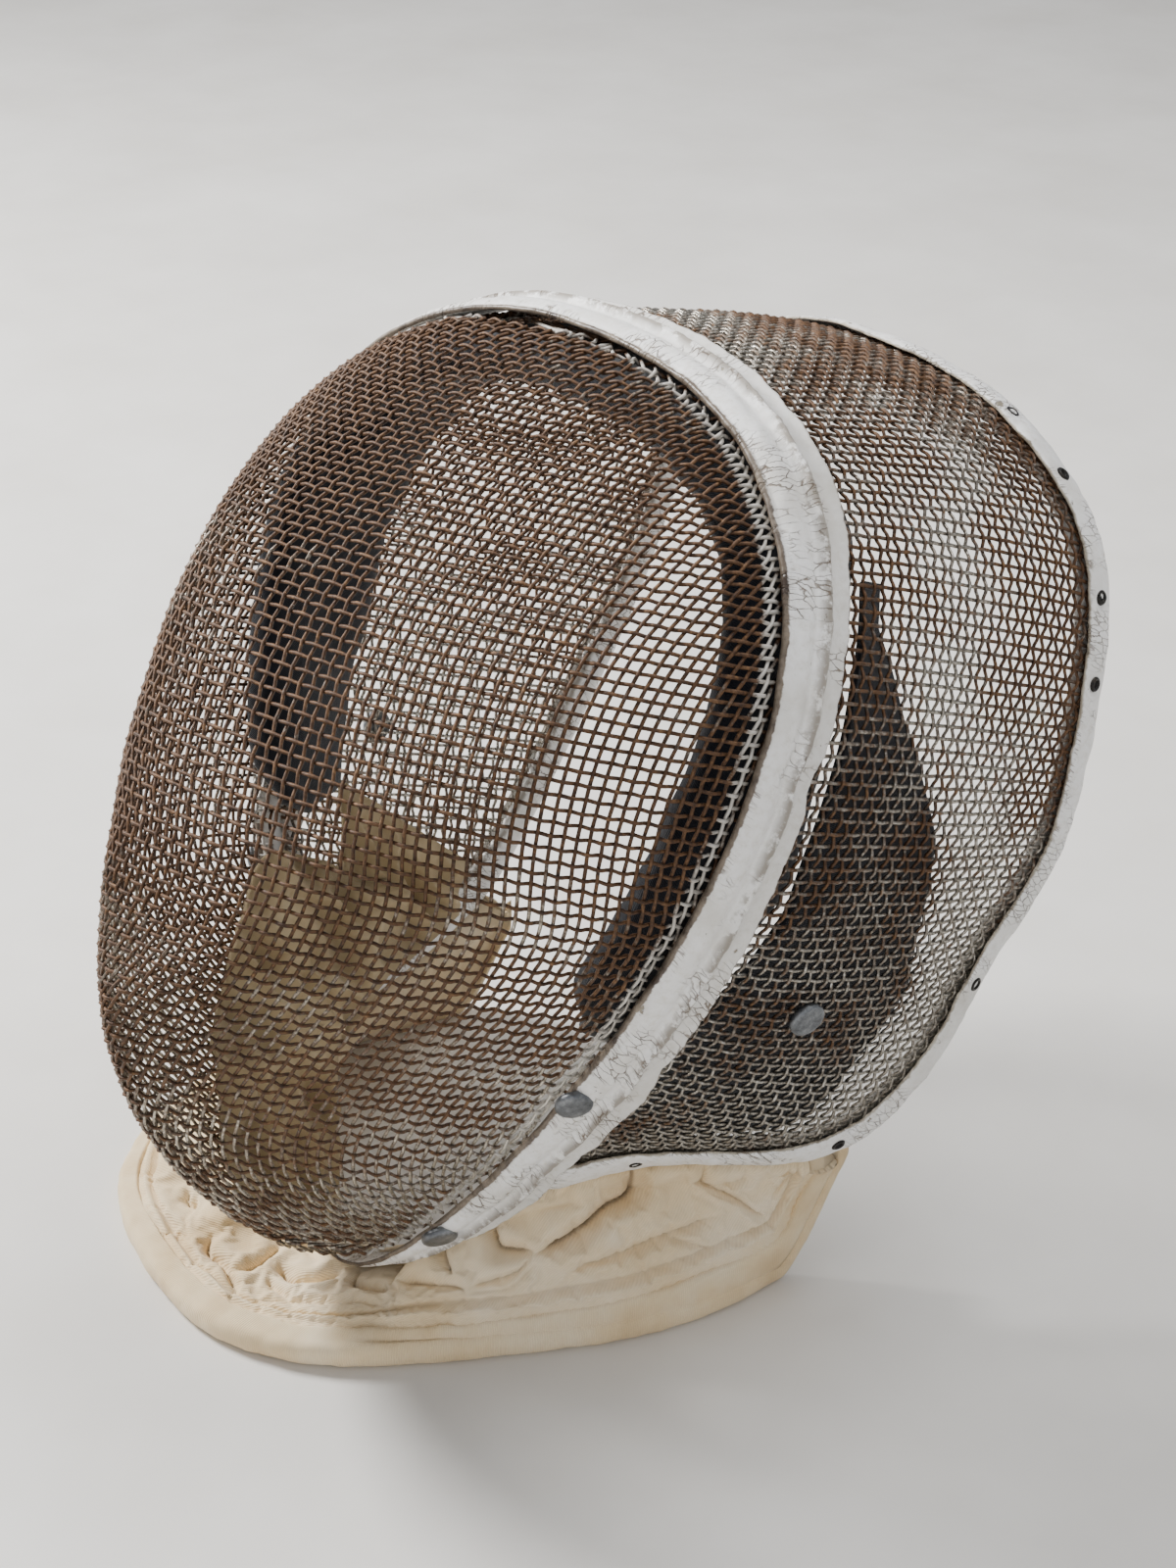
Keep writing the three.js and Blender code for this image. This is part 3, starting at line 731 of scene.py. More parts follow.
# ---- cloth inside the mask ----
# Degrees round the rim, then how far the pad reaches before and behind it.
PAD_WIDTHS = np.array([(0, 12, 34), (45, 12, 36), (75, 12, 40), (102, 10, 24)], float)
PAD_START, PAD_THICKNESS, PAD_END, PAD_SQUARISH = 3, 14, 102, 0.62
PAD_LUMPY, FLAP_BEND = (26, 1.6, 21.0, 3), (30, 1.0, 2.0, 2)
LINING_RIDGES, LINING_LUMPY = (19, 1.0, 8.0, 2), (9, 0.25, 3.0, 2)
# How far within the mesh the middle, the outer and the inner face of each sheet lie before it is bent.
FLAP_MIDDLE, FLAP_OUTER, FLAP_INNER = 3.4, 2.6, 4.6
LINING_MIDDLE, LINING_OUTER, LINING_INNER = 5.0, 3.4, 5.0
# Degrees round the rim and distance of the flap's back edge behind it. The flap is the mask's dark cheek
# lining; from 98 degrees on it is carried down the cheek as a dark sheet that stands in for the shade inside
# the lower side mesh.
FLAP_EDGE = np.array([(38, 33), (50, 65), (59, 98), (74, 120), (98, 98), (107, 72), (116, 46)], float)
LINING_RUMPLE = 7.0
# Degrees round the rim from the crown by the right cheek, and the canvas's front and back edges behind it.
LINING_EDGE = np.array(
    [(95, 36, 105), (106, 36, 90), (109, -8, 80), (120, -28, 44), (135, -42, 16)]
    + [(180, -46, 8), (192, -24, 8), (200, -8, 8)],
    float,
)


def head_pad(material):
    degrees = np.linspace(-PAD_END, PAD_END, 160)
    front = -np.interp(np.abs(degrees), PAD_WIDTHS[:, 0], PAD_WIDTHS[:, 1])[:, None]
    back = np.interp(np.abs(degrees), PAD_WIDTHS[:, 0], PAD_WIDTHS[:, 2])[:, None]
    turns = np.linspace(0, TAU, 33)[:-1][None, :]
    along = (front + back) / 2 + (back - front) / 2 * powered(np.cos(turns), PAD_SQUARISH)
    height = -PAD_START - PAD_THICKNESS / 2 + PAD_THICKNESS / 2 * powered(np.sin(turns), PAD_SQUARISH)
    sections = off_wall(np.radians(degrees)[:, None], along, height)
    middle = sections.mean(axis=1, keepdims=True)
    ends = smooth(PAD_END - np.abs(degrees), 0, 5)[:, None, None]
    sections = middle + (sections - middle) * (0.45 + 0.55 * ends)
    sections += unit(sections - middle) * uneven(sections, PAD_LUMPY)[..., None]
    return swept("head_pad_cloth", sections, material)


def thin_sheet(name, outer, inner, material):
    """A closed thin solid between two grids of points."""
    loop = np.concatenate([outer, inner[:, ::-1]], axis=1)
    return swept(name, loop, material)


def strip(front, back, columns):
    """Distances behind the rim from a front edge to a back edge, a row for each station."""
    return front[:, None] + (back - front)[:, None] * np.linspace(0, 1, columns)[None, :]


def flap_points(degrees, depth):
    pad_back = np.interp(np.minimum(degrees, PAD_END), PAD_WIDTHS[:, 0], PAD_WIDTHS[:, 2]) + 3
    back = np.maximum(np.interp(degrees, FLAP_EDGE[:, 0], FLAP_EDGE[:, 1]), pad_back + 6)
    return off_wall(np.radians(degrees)[:, None], strip(pad_back, back, 40), depth)


def ear_flap(material):
    degrees = np.linspace(FLAP_EDGE[0, 0], FLAP_EDGE[-1, 0], 110)
    middle = flap_points(degrees, -MESH_FACE - FLAP_MIDDLE)
    bend = uneven(middle, FLAP_BEND)
    outer = flap_points(degrees, -MESH_FACE - FLAP_OUTER + bend)
    inner = flap_points(degrees, -MESH_FACE - FLAP_INNER + bend)
    return thin_sheet("ear_flap_cloth", outer, inner, material), middle


def lining_points(degrees, depth):
    front = np.interp(degrees, LINING_EDGE[:, 0], LINING_EDGE[:, 1])
    back = np.interp(degrees, LINING_EDGE[:, 0], LINING_EDGE[:, 2])
    turn = np.radians(degrees)
    angle = np.where(turn <= math.pi, -turn, TAU - turn)
    return off_wall(angle[:, None], strip(front, back, 48), depth)


def chin_lining(material):
    degrees = np.linspace(LINING_EDGE[0, 0], LINING_EDGE[-1, 0], 220)
    middle = lining_points(degrees, -MESH_FACE - LINING_MIDDLE)
    ridges = 1 - 2.2 * np.abs(uneven(middle * [1.0, 1.0, 0.35], LINING_RIDGES))
    along = np.linspace(0, 1, middle.shape[0])[:, None]
    across = np.linspace(0, 1, middle.shape[1])[None, :]
    inside = np.minimum(np.minimum(along, 1 - along) * 2, np.minimum(across, 1 - across))
    hang = np.clip(ridges + uneven(middle, LINING_LUMPY), -0.3, 1.1) * (0.3 + 0.7 * smooth(inside, 0, 0.14))
    folds = -LINING_RUMPLE * hang
    outer = lining_points(degrees, -MESH_FACE - LINING_OUTER + folds)
    inner = lining_points(degrees, -MESH_FACE - LINING_INNER + folds)
    made = thin_sheet("chin_lining_canvas", outer, inner, material)
    # Painted shade: where the canvas lies back against the mesh its folds are recessed as seen from inside,
    # and are painted darker.
    recess = np.clip(0.8 - hang, 0, 1)
    mark(made, "dirt_and_painted_shade", np.concatenate([recess, recess[:, ::-1]], axis=1))
    return made, outer


def sheet_area(points):
    a = np.cross(points[1:, :-1] - points[:-1, :-1], points[:-1, 1:] - points[:-1, :-1])
    b = np.cross(points[1:, :-1] - points[1:, 1:], points[:-1, 1:] - points[1:, 1:])
    return (np.linalg.norm(a, axis=-1).sum() + np.linalg.norm(b, axis=-1).sum()) / 2 * MM**2


# ---- the padded bib ----
BIB_THICKNESS, BIB_BINDING, BIB_BINDING_HEIGHT = 8.6, 7, 9.2
BIB_SECTIONS = np.array(
    [  # top x y z, foot x y, lift of the foot, belly
        (-85, 74, 44, -82, 78, 36, 0),
        (-82, 60, 43, -92, 62, 1, 4),
        (-71, 34, 44, -100, 28, 0, 5),
        (-61, 6, 44, -104, -10, 0, 5),
        (-50, -18, 38, -97, -46, 0, 4),
        (-34, -32, 23, -74, -76, 0, 1),
        (-16, -36, 8, -38, -87, 0, 0),
        (2, -36, 6, -4, -86, 0, 0),
        (18, -34, 11, 23, -70, 0, 1),
        (34, -28, 27, 42, -43, 0, 3),
        (48, -12, 41, 57, -16, 0, 4),
        (57, 8, 44, 69, 8, 0, 5),
        (66, 28, 44, 76, 34, 0, 5),
        (76, 48, 44, 77, 57, 1, 4),
        (85, 71, 45, 80, 77, 37, 0),
    ],
    float,
)


def bib_frame(places):
    """Top, foot and outward direction of the bib at places from its right end to its left end."""
    row = between(BIB_SECTIONS, places)
    top = row[:, 0:3]
    foot = np.stack([row[:, 3], row[:, 4], np.maximum(0, row[:, 5])], -1)
    out = unit(np.stack([row[:, 3], row[:, 4] - 10, 0 * row[:, 3]], -1))
    return top, foot, out, row[:, 6]


# Where the cotton is creased: depth and radius of the rolls beside it in millimetres, then the line of the
# crease as (place along the bib from its right end, share of the way from its top down to its foot).
CREASES = [
    (9.0, 5.6, [(0.835, -0.15), (0.81, 0.03), (0.784, 0.09), (0.76, 0.18), (0.737, 0.25), (0.714, 0.29)]),
    (6.1, 4.1, [(0.72, 0.28), (0.70, 0.22), (0.687, 0.14), (0.68, -0.1)]),
    (4.4, 3.5, [(0.713, 0.29), (0.704, 0.36), (0.69, 0.40), (0.66, 0.43)]),
    (2.9, 3.0, [(0.718, 0.34), (0.706, 0.42), (0.694, 0.49), (0.66, 0.46)]),
    (4.0, 3.5, [(0.735, 0.47), (0.75, 0.44), (0.786, 0.40), (0.82, 0.345), (0.85, 0.32), (0.885, 0.25)]),
    (2.6, 3.0, [(0.826, 0.35), (0.835, 0.40), (0.85, 0.47), (0.862, 0.57)]),
    (3.7, 3.5, [(0.872, -0.15), (0.89, 0.06), (0.90, 0.13), (0.912, 0.28), (0.925, 0.40)]),
    (2.0, 3.0, [(0.88, 0.02), (0.90, 0.03), (0.925, 0.0), (0.94, -0.1)]),
    (3.3, 3.5, [(0.96, -0.1), (0.965, 0.05), (0.955, 0.16), (0.935, 0.26)]),
    (5.5, 4.1, [(0.50, 0.92), (0.484, 0.86), (0.46, 0.79), (0.436, 0.80), (0.42, 0.72)]),
    (3.5, 3.5, [(0.462, 0.78), (0.467, 0.70), (0.46, 0.55), (0.45, 0.42)]),
    (5.5, 4.6, [(0.47, 0.52), (0.485, 0.55), (0.50, 0.55), (0.512, 0.48), (0.52, 0.3)]),
    (2.9, 3.0, [(0.485, 0.66), (0.50, 0.69), (0.522, 0.71)]),
    (2.4, 3.0, [(0.50, 0.88), (0.515, 0.76), (0.56, 0.62), (0.60, 0.62), (0.64, 0.66)]),
    (3.7, 3.5, [(0.53, 0.2), (0.543, 0.37), (0.575, 0.44), (0.60, 0.46)]),
    (3.7, 3.5, [(0.60, 0.36), (0.625, 0.37), (0.65, 0.40), (0.664, 0.47)]),
    (4.4, 4.1, [(0.632, -0.1), (0.641, 0.12), (0.652, 0.31)]),
    (5.0, 5.9, [(0.375, 0.72), (0.387, 0.76), (0.392, 0.70)]),
    (3.3, 3.5, [(0.36, -0.1), (0.35, 0.2), (0.365, 0.42), (0.35, 0.6)]),
    (3.7, 3.5, [(0.30, -0.1), (0.31, 0.15), (0.295, 0.35), (0.305, 0.55)]),
    (4.4, 3.8, [(0.24, -0.1), (0.235, 0.2), (0.25, 0.45), (0.27, 0.55)]),
    (3.3, 3.5, [(0.20, -0.1), (0.19, 0.15), (0.205, 0.4), (0.20, 0.6)]),
    (4.0, 3.5, [(0.13, -0.1), (0.145, 0.12), (0.14, 0.32), (0.16, 0.5)]),
    (3.1, 3.5, [(0.07, -0.1), (0.08, 0.2), (0.07, 0.5)]),
]
# Where the line of stitches that closes the padding runs, in millimetres up from the foot.
WELT = np.array(
    [(0, 10), (0.33, 4), (0.45, 3), (0.52, 5), (0.60, 8), (0.68, 13), (0.80, 16.5)]
    + [(0.86, 19), (0.93, 22), (1, 17)]
)
# The same for the upper edge of the binding.
BINDING_EDGE = np.array(
    [(0, 5), (0.33, 1), (0.45, 0), (0.55, 2), (0.61, 5), (0.67, 8), (0.75, 11)]
    + [(0.86, 14), (0.93, 16), (1, 12)]
)
BIB_ROWS, BIB_STATIONS, TUCK_ROWS, UNDER_SKIPS = 80, 600, 8, 4
BIB_PUFFS, BIB_GATHERS = (21, 1.7, 3.0, 2), (9, 0.5, 2.0, 1)
BINDING_WORN, BINDING_LUMPY = (11, 0.5, 3.0, 2), (10, 0.45, 5.0, 3)
TUCK_SWELL = 2.5
SWELL_CAP, SWELL_FRAMES = 4.0, 20


def top_seam(top):
    """Where the bib's top is sewn under the trim and under the chin of the band."""
    cheek = np.radians(np.linspace(96, 124, 40))
    chin = np.radians(np.linspace(138, 180, 40))
    trim = off_wall(cheek, side_depth(cheek) - 1.5, -0.5)
    band = off_wall(chin, BAND_START + band_width(chin) - 2.5, 1.0)
    half = np.concatenate([trim, band])
    seam = between(np.concatenate([half, (half * [-1, 1, 1])[::-1]]), np.linspace(0, 1, 900))
    nearest = np.linalg.norm(seam[None] - top[:, None], axis=-1).argmin(axis=1)
    kernel = np.hanning(25) / np.hanning(25).sum()
    padded = np.pad(seam[nearest], ((12, 12), (0, 0)), mode="edge")
    return np.stack([np.convolve(padded[:, k], kernel, mode="valid") for k in range(3)], -1)


def bib_sheet(places, shares):
    """The bib's middle surface, its upward normals and the length of its fall at each place."""
    top, foot, out, belly = bib_frame(places)
    half = BIB_THICKNESS / 2
    foot_middle = foot + [0, 0, half]
    fall = unit(foot_middle - top)
    face = unit(np.array([0, 0, 1.0]) - fall * fall[:, 2:3] - out * fall[:, 2:3])
    waist = (top + foot_middle) / 2 + face * belly[:, None]
    share = shares[None, :, None]
    bend = 2 * waist - (top + foot_middle) / 2
    line = top[:, None] * (1 - share) ** 2 + 2 * share * (1 - share) * bend[:, None]
    line = line + share**2 * foot_middle[:, None]
    normal = unit(np.cross(unit(np.gradient(line, axis=1)), unit(np.gradient(line, axis=0))))
    normal *= np.sign(np.sum(normal * face[:, None], axis=-1))[..., None]
    return line, normal, np.linalg.norm(np.diff(line, axis=1), axis=-1).sum(axis=1)


def distance_to(path, spots):
    """Distance of each spot from a path of points in a plane, and the share of the path nearest to it."""
    path = between(np.array(path, float), np.linspace(0, 1, 25))
    start, step = path[:-1], np.diff(path, axis=0)
    along = np.clip(((spots[:, None] - start) * step).sum(-1) / (step * step).sum(-1), 0, 1)
    gap = np.linalg.norm(spots[:, None] - start - along[..., None] * step, axis=-1)
    nearest = gap.argmin(axis=1)
    rows = np.arange(len(spots))
    return gap[rows, nearest], (nearest + along[rows, nearest]) / len(step)


def rolled(gap, radius):
    """Depth of the valley where two rolls of a radius touch, from 1 at the valley to 0 at their tops."""
    return 1 - np.sqrt(np.maximum(0, 1 - (1 - np.minimum(gap / radius, 1)) ** 2))


def creased(places, shares, fall, length):
    """Height that creases and stitches take from the cotton, how firmly they hold it, and painted shade: how
    much darker it is painted in its creases and along its stitched line.
    """
    grid = np.stack(np.broadcast_arrays(places[:, None] * length, shares[None, :] * fall[:, None]), -1)
    spots = grid.reshape(-1, 2)
    height, hold, dirt_and_painted_shade = np.zeros((3, len(spots)))
    for depth, radius, line in CREASES:
        path = [(place * length, share * np.interp(place, places, fall)) for place, share in line]
        gap, at = distance_to(path, spots)
        fade = smooth(at, 0, 0.25)
        if line[0][1] < 0:
            fade = np.ones_like(fade)
        fade = fade * (1 - smooth(at, 0.82, 1))
        lips = np.exp(-(((gap - radius) / (0.7 * radius)) ** 2))
        height += depth * fade * (0.16 * lips - rolled(gap, radius))
        hold = np.maximum(hold, fade * np.exp(-((gap / 1.0) ** 2)))
        # Painted shade: the cotton is painted darker in a thin line where two rolls touch, the more so the
        # deeper the crease.
        dirt_and_painted_shade = np.maximum(dirt_and_painted_shade, fade * depth / 9 * np.exp(-((gap / 0.6) ** 2)))
    height, hold, dirt_and_painted_shade = (values.reshape(grid.shape[:2]) for values in (height, hold, dirt_and_painted_shade))
    up = (1 - shares[None, :]) * fall[:, None] - np.interp(places, WELT[:, 0], WELT[:, 1])[:, None]
    stitched = np.exp(-(((up - 2.1) / 1.1) ** 2))
    height = height * smooth(up, 0, 7) - 1.8 * stitched + 1.5 * np.exp(-((up / 1.1) ** 2))
    below = up < -1
    hold = np.maximum(hold, np.maximum(stitched, below * 0.9))
    return height, hold, np.maximum(dirt_and_painted_shade, 0.45 * stitched)


def bib_body(material):
    places = np.linspace(0, 1, BIB_STATIONS)
    shares = np.linspace(0, 1, BIB_ROWS)
    line, normal, fall = bib_sheet(places, shares)
    length = lengths(line)[-1]
    height, hold, dirt_and_painted_shade = creased(places, shares, fall, length)
    half = BIB_THICKNESS / 2
    puff = uneven(line, BIB_PUFFS)
    upper = line + normal * (half + puff + height)[..., None]
    lower = (line - normal * half)[:, ::UNDER_SKIPS][:, ::-1]
    seam = top_seam(upper[:, 0])
    rise = np.linspace(0, 1, TUCK_ROWS + 1)[:-1][None, :, None]
    tuck = seam[:, None] * (1 - rise) + upper[:, :1] * rise
    gathers = 1 + uneven(line[:, 0], BIB_GATHERS)[:, None, None]
    tuck += normal[:, :1] * (TUCK_SWELL * np.sin(math.pi * rise) * gathers)
    loop = np.concatenate([tuck, upper, lower], axis=1)
    firm = np.ones(loop.shape[:2])
    firm[:, 1:TUCK_ROWS] = hold[:, :1]
    firm[:, TUCK_ROWS : TUCK_ROWS + BIB_ROWS] = hold
    firm[[0, -1]] = 1
    loop = loop + swelling(loop[::2, ::2], firm[::2, ::2], loop.shape[:2])
    loop[..., 2] = np.maximum(loop[..., 2], 0.05)
    made = swept("bib_cotton", loop, material)
    marks = np.zeros(loop.shape[:2])
    marks[:, TUCK_ROWS : TUCK_ROWS + BIB_ROWS] = dirt_and_painted_shade
    # Painted shade: the tuck is painted darker towards the seam where it goes in under the band and the trim.
    marks[:, :TUCK_ROWS] = np.maximum(dirt_and_painted_shade[:, :1], 0.55 * np.linspace(1, 0, TUCK_ROWS) ** 2)
    mark(made, "dirt_and_painted_shade", marks)
    return made


def swelling(loop, firm, shape):
    """How far the cotton puffs out where nothing holds it, by cloth simulation of every second point."""
    made = swept("bib_puffing", loop, bpy.data.materials.new("puffing"))
    group = made.vertex_groups.new(name="held")
    for i, weight in enumerate(np.clip(firm, 0, 1).ravel().tolist()):
        group.add([i], weight, "REPLACE")
    settings = made.modifiers.new("puffing", "CLOTH").settings
    settings.vertex_group_mass = "held"
    settings.effector_weights.gravity = 0
    settings.use_pressure = True
    settings.uniform_pressure_force = 30
    settings.shrink_min = -0.065
    settings.bending_stiffness = 4.0
    settings.quality = 4
    before = coordinates(made.data)
    for number in range(1, SWELL_FRAMES + 1):
        bpy.context.scene.frame_set(number)
    result = made.evaluated_get(bpy.context.evaluated_depsgraph_get())
    moved = (coordinates(result.data) - before) / MM
    bpy.context.scene.frame_set(1)
    bpy.data.objects.remove(made)
    far = np.linalg.norm(moved, axis=1, keepdims=True)
    moved *= np.minimum(1, SWELL_CAP / np.maximum(far, 1e-9))
    moved = moved.reshape(*loop.shape)
    rows = np.minimum(np.arange(shape[0]) / 2, len(moved) - 1)
    low = np.minimum(rows.astype(int), len(moved) - 2)
    rest = (rows - low)[:, None, None]
    moved = moved[low] * (1 - rest) + moved[low + 1] * rest
    ahead = np.roll(moved, -1, axis=1)
    return np.stack([moved, (moved + ahead) / 2], axis=2).reshape(*shape, 3)


def bib_binding(material):
    """The bound edge: it stands on the floor outside the padding and laps up over it."""
    places = np.linspace(0, 1, 640)
    _, foot, out, _ = bib_frame(places)
    shares = np.linspace(0, 1, 30)
    line, normal, fall = bib_sheet(places, shares)
    lap = np.interp(places, BINDING_EDGE[:, 0], BINDING_EDGE[:, 1]) + uneven(foot, BINDING_WORN)
    reach = np.linspace(0, 1, 7)[1:]
    share = 1 - reach[None, :] * np.maximum(lap, 0.8)[:, None] / fall[:, None]
    at = share * (len(shares) - 1)
    low = np.clip(at.astype(int), 0, len(shares) - 2)
    rest = (at - low)[..., None]
    rows = np.arange(len(places))[:, None]
    over = line[rows, low] * (1 - rest) + line[rows, low + 1] * rest
    facing = normal[rows, low]
    half = BIB_THICKNESS / 2
    skin = over + facing * (half + 1.5 - 0.7 * reach[None, :] ** 4)[..., None]
    inside = over[:, -1:] + facing[:, -1:] * (half - 1.5)
    turns = np.radians(np.linspace(-90, 75, 12))
    wide = BIB_BINDING - 3.6 + 4.4 * powered(np.cos(turns), 0.75)
    high = BIB_BINDING_HEIGHT / 2 * (1 + powered(np.sin(turns), 0.85))
    outside = foot[:, None] + out[:, None] * wide[None, :, None]
    outside[..., 2] += high[None, :]
    under = foot[:, None] + out[:, None] * np.array([0.2, 2.0])[None, :, None]
    core = foot[:, None] - out[:, None] * 1.0
    core[..., 2] += half
    loop = np.concatenate([under, outside, skin, inside, core], axis=1)
    middle = loop.mean(axis=1, keepdims=True)
    loop += unit(loop - middle) * uneven(loop, BINDING_LUMPY)[..., None]
    loop[..., 2] = np.maximum(loop[..., 2], 0.02)
    return swept("bib_binding_cotton", loop, material)


# ---- materials ----
class Value:
    """A number that a material's nodes work out; sums with it make further nodes."""

    def __init__(self, look, socket):
        self.look, self.socket = look, socket

    def __add__(self, other):
        return self.look.maths("ADD", self, other)

    def __mul__(self, other):
        return self.look.maths("MULTIPLY", self, other)

    def __sub__(self, other):
        return self.look.maths("SUBTRACT", self, other)

    def __rsub__(self, other):
        return self.look.maths("SUBTRACT", other, self)

    def __abs__(self):
        return self.look.maths("ABSOLUTE", self)


class Look:
    """A material built from procedural nodes; every texture is measured in metres on the object."""

    def __init__(self, name, **sockets):
        self.material = bpy.data.materials.new(name)
        self.material.use_nodes = True
        self.tree = self.material.node_tree
        self.shader = self.tree.nodes["Principled BSDF"]
        self.fill(self.shader, **sockets)
        self.place = self.node("ShaderNodeTexCoord").outputs["Object"]
        self.flat = self.node("ShaderNodeUVMap", uv_map="flat").outputs["UV"]

    def node(self, kind, **settings):
        made = self.tree.nodes.new(kind)
        for key, value in settings.items():
            setattr(made, key, value)
        return made

    def fill(self, node, **sources):
        """Sets or links sockets of a node by their names, written with _ for a space."""
        for name, source in sources.items():
            self.link(source, node.inputs[name.replace("_", " ")])

    def link(self, source, socket):
        if isinstance(source, Value):
            source = source.socket
        if isinstance(source, (int, float, tuple)):
            socket.default_value = source
        else:
            self.tree.links.new(source, socket)

    def scaled(self, source, scale):
        made = self.node("ShaderNodeMapping")
        self.fill(made, Vector=source, Scale=scale if isinstance(scale, tuple) else (scale,) * 3)
        return made.outputs["Vector"]

    def noise(self, scale, detail, rough):
        made = self.node("ShaderNodeTexNoise")
        self.fill(made, Vector=self.scaled(self.place, scale), Scale=1.0, Detail=detail, Roughness=rough)
        return Value(self, made.outputs["Fac"])

    def cracks(self, scale, wobble):
        """Distance from the cracks of a dried-out sheet; the scale may differ along and across it."""
        shift = self.node("ShaderNodeTexNoise")
        self.fill(shift, Vector=self.scaled(self.flat, 900), Scale=1.0)
        moved = self.node("ShaderNodeMixRGB", blend_type="ADD")
        self.fill(moved, Fac=wobble, Color1=self.flat, Color2=shift.outputs["Color"])
        made = self.node("ShaderNodeTexVoronoi", feature="DISTANCE_TO_EDGE")
        self.fill(made, Vector=self.scaled(moved.outputs["Color"], scale), Scale=1.0)
        return Value(self, made.outputs["Distance"])

    def wave(self, scale, direction, distortion):
        made = self.node("ShaderNodeTexWave", bands_direction=direction)
        self.fill(made, Vector=self.scaled(self.flat, scale), Scale=1.0, Distortion=distortion)
        return Value(self, made.outputs["Fac"])

    def attribute(self, name):
        return Value(self, self.node("ShaderNodeAttribute", attribute_name=name).outputs["Fac"])

    def ramp(self, value, *stops):
        """Colours or greys at places: each stop is (place, colour)."""
        made = self.node("ShaderNodeValToRGB")
        self.fill(made, Fac=value)
        elements = made.color_ramp.elements
        while len(elements) < len(stops):
            elements.new(1.0)
        for element, (place, shade) in zip(elements, stops):
            element.position = place
            element.color = colour(shade)
        return made.outputs["Color"]

    def between(self, value, low, high):
        """A value stretched so that low is 0 and high is 1."""
        made = self.node("ShaderNodeMapRange", interpolation_type="SMOOTHSTEP")
        self.fill(made, Value=value, From_Min=low, From_Max=high)
        return Value(self, made.outputs["Result"])

    def mix(self, share, first, second):
        made = self.node("ShaderNodeMixRGB", blend_type="MIX")
        self.fill(made, Fac=share, Color1=colour(first), Color2=colour(second))
        return made.outputs["Color"]

    def maths(self, how, first, second=0.0):
        made = self.node("ShaderNodeMath", operation=how)
        self.link(first, made.inputs[0])
        self.link(second, made.inputs[1])
        return Value(self, made.outputs[0])

    def part(self, axis, source):
        made = self.node("ShaderNodeSeparateXYZ")
        self.link(source, made.inputs[0])
        return Value(self, made.outputs[axis])

    def bump(self, height, strength, distance):
        made = self.node("ShaderNodeBump")
        self.fill(made, Strength=strength, Distance=distance, Height=height)
        return made.outputs["Normal"]

    def finish(self, **sources):
        self.fill(self.shader, **sources)
        return self.material


def colour(value):
    """A linear colour from a hex string or a grey; anything else is passed on."""
    if isinstance(value, str):
        parts = [int(value[i : i + 2], 16) / 255 for i in (1, 3, 5)]
        return tuple(((p + 0.055) / 1.055) ** 2.4 if p > 0.04045 else p / 12.92 for p in parts) + (1.0,)
    if isinstance(value, (int, float)):
        return (float(value),) * 3 + (1.0,)
    return value


RUST = [(0.3, "#20130b"), (0.45, "#402a19"), (0.58, "#60432a"), (0.72, "#876542"), (0.85, "#ae9069")]


def wire_material(name, rust, bare, low, high, less):
    """Iron wire with a share of rust that is less by an amount at the low height than at the high one."""
    look = Look(name)
    patch = look.noise(22, 3, 0.6)
    fine = look.noise(420, 4, 0.7)
    run = look.noise(900, 3, 0.6)
    height = look.between(look.part(2, look.place), low, high)
    rusted = look.between(patch * 0.9 + fine * 0.55 + height * less, 0.9 - rust + less, 1.12 - rust + less)
    rust_colour = look.ramp(fine * 0.6 + run * 0.45, *RUST)
    bare_colour = look.ramp(run, (0.3, "#57514a"), (0.52, bare), (0.75, "#dcd7cc"))
    tint = look.mix(rusted, bare_colour, rust_colour)
    by_edge = look.attribute("painted")
    paint = by_edge * look.between(run + by_edge, 0.95, 1.35)
    tint = look.mix(paint * 0.8, tint, "#d8d4cb")
    rough = rusted * 0.28 + 0.26 + fine * 0.15
    normal = look.bump(look.noise(1500, 3, 0.7), 0.5, 0.0003)
    return look.finish(Base_Color=tint, Metallic=0.92 - rusted * 0.62, Roughness=rough, Normal=normal)


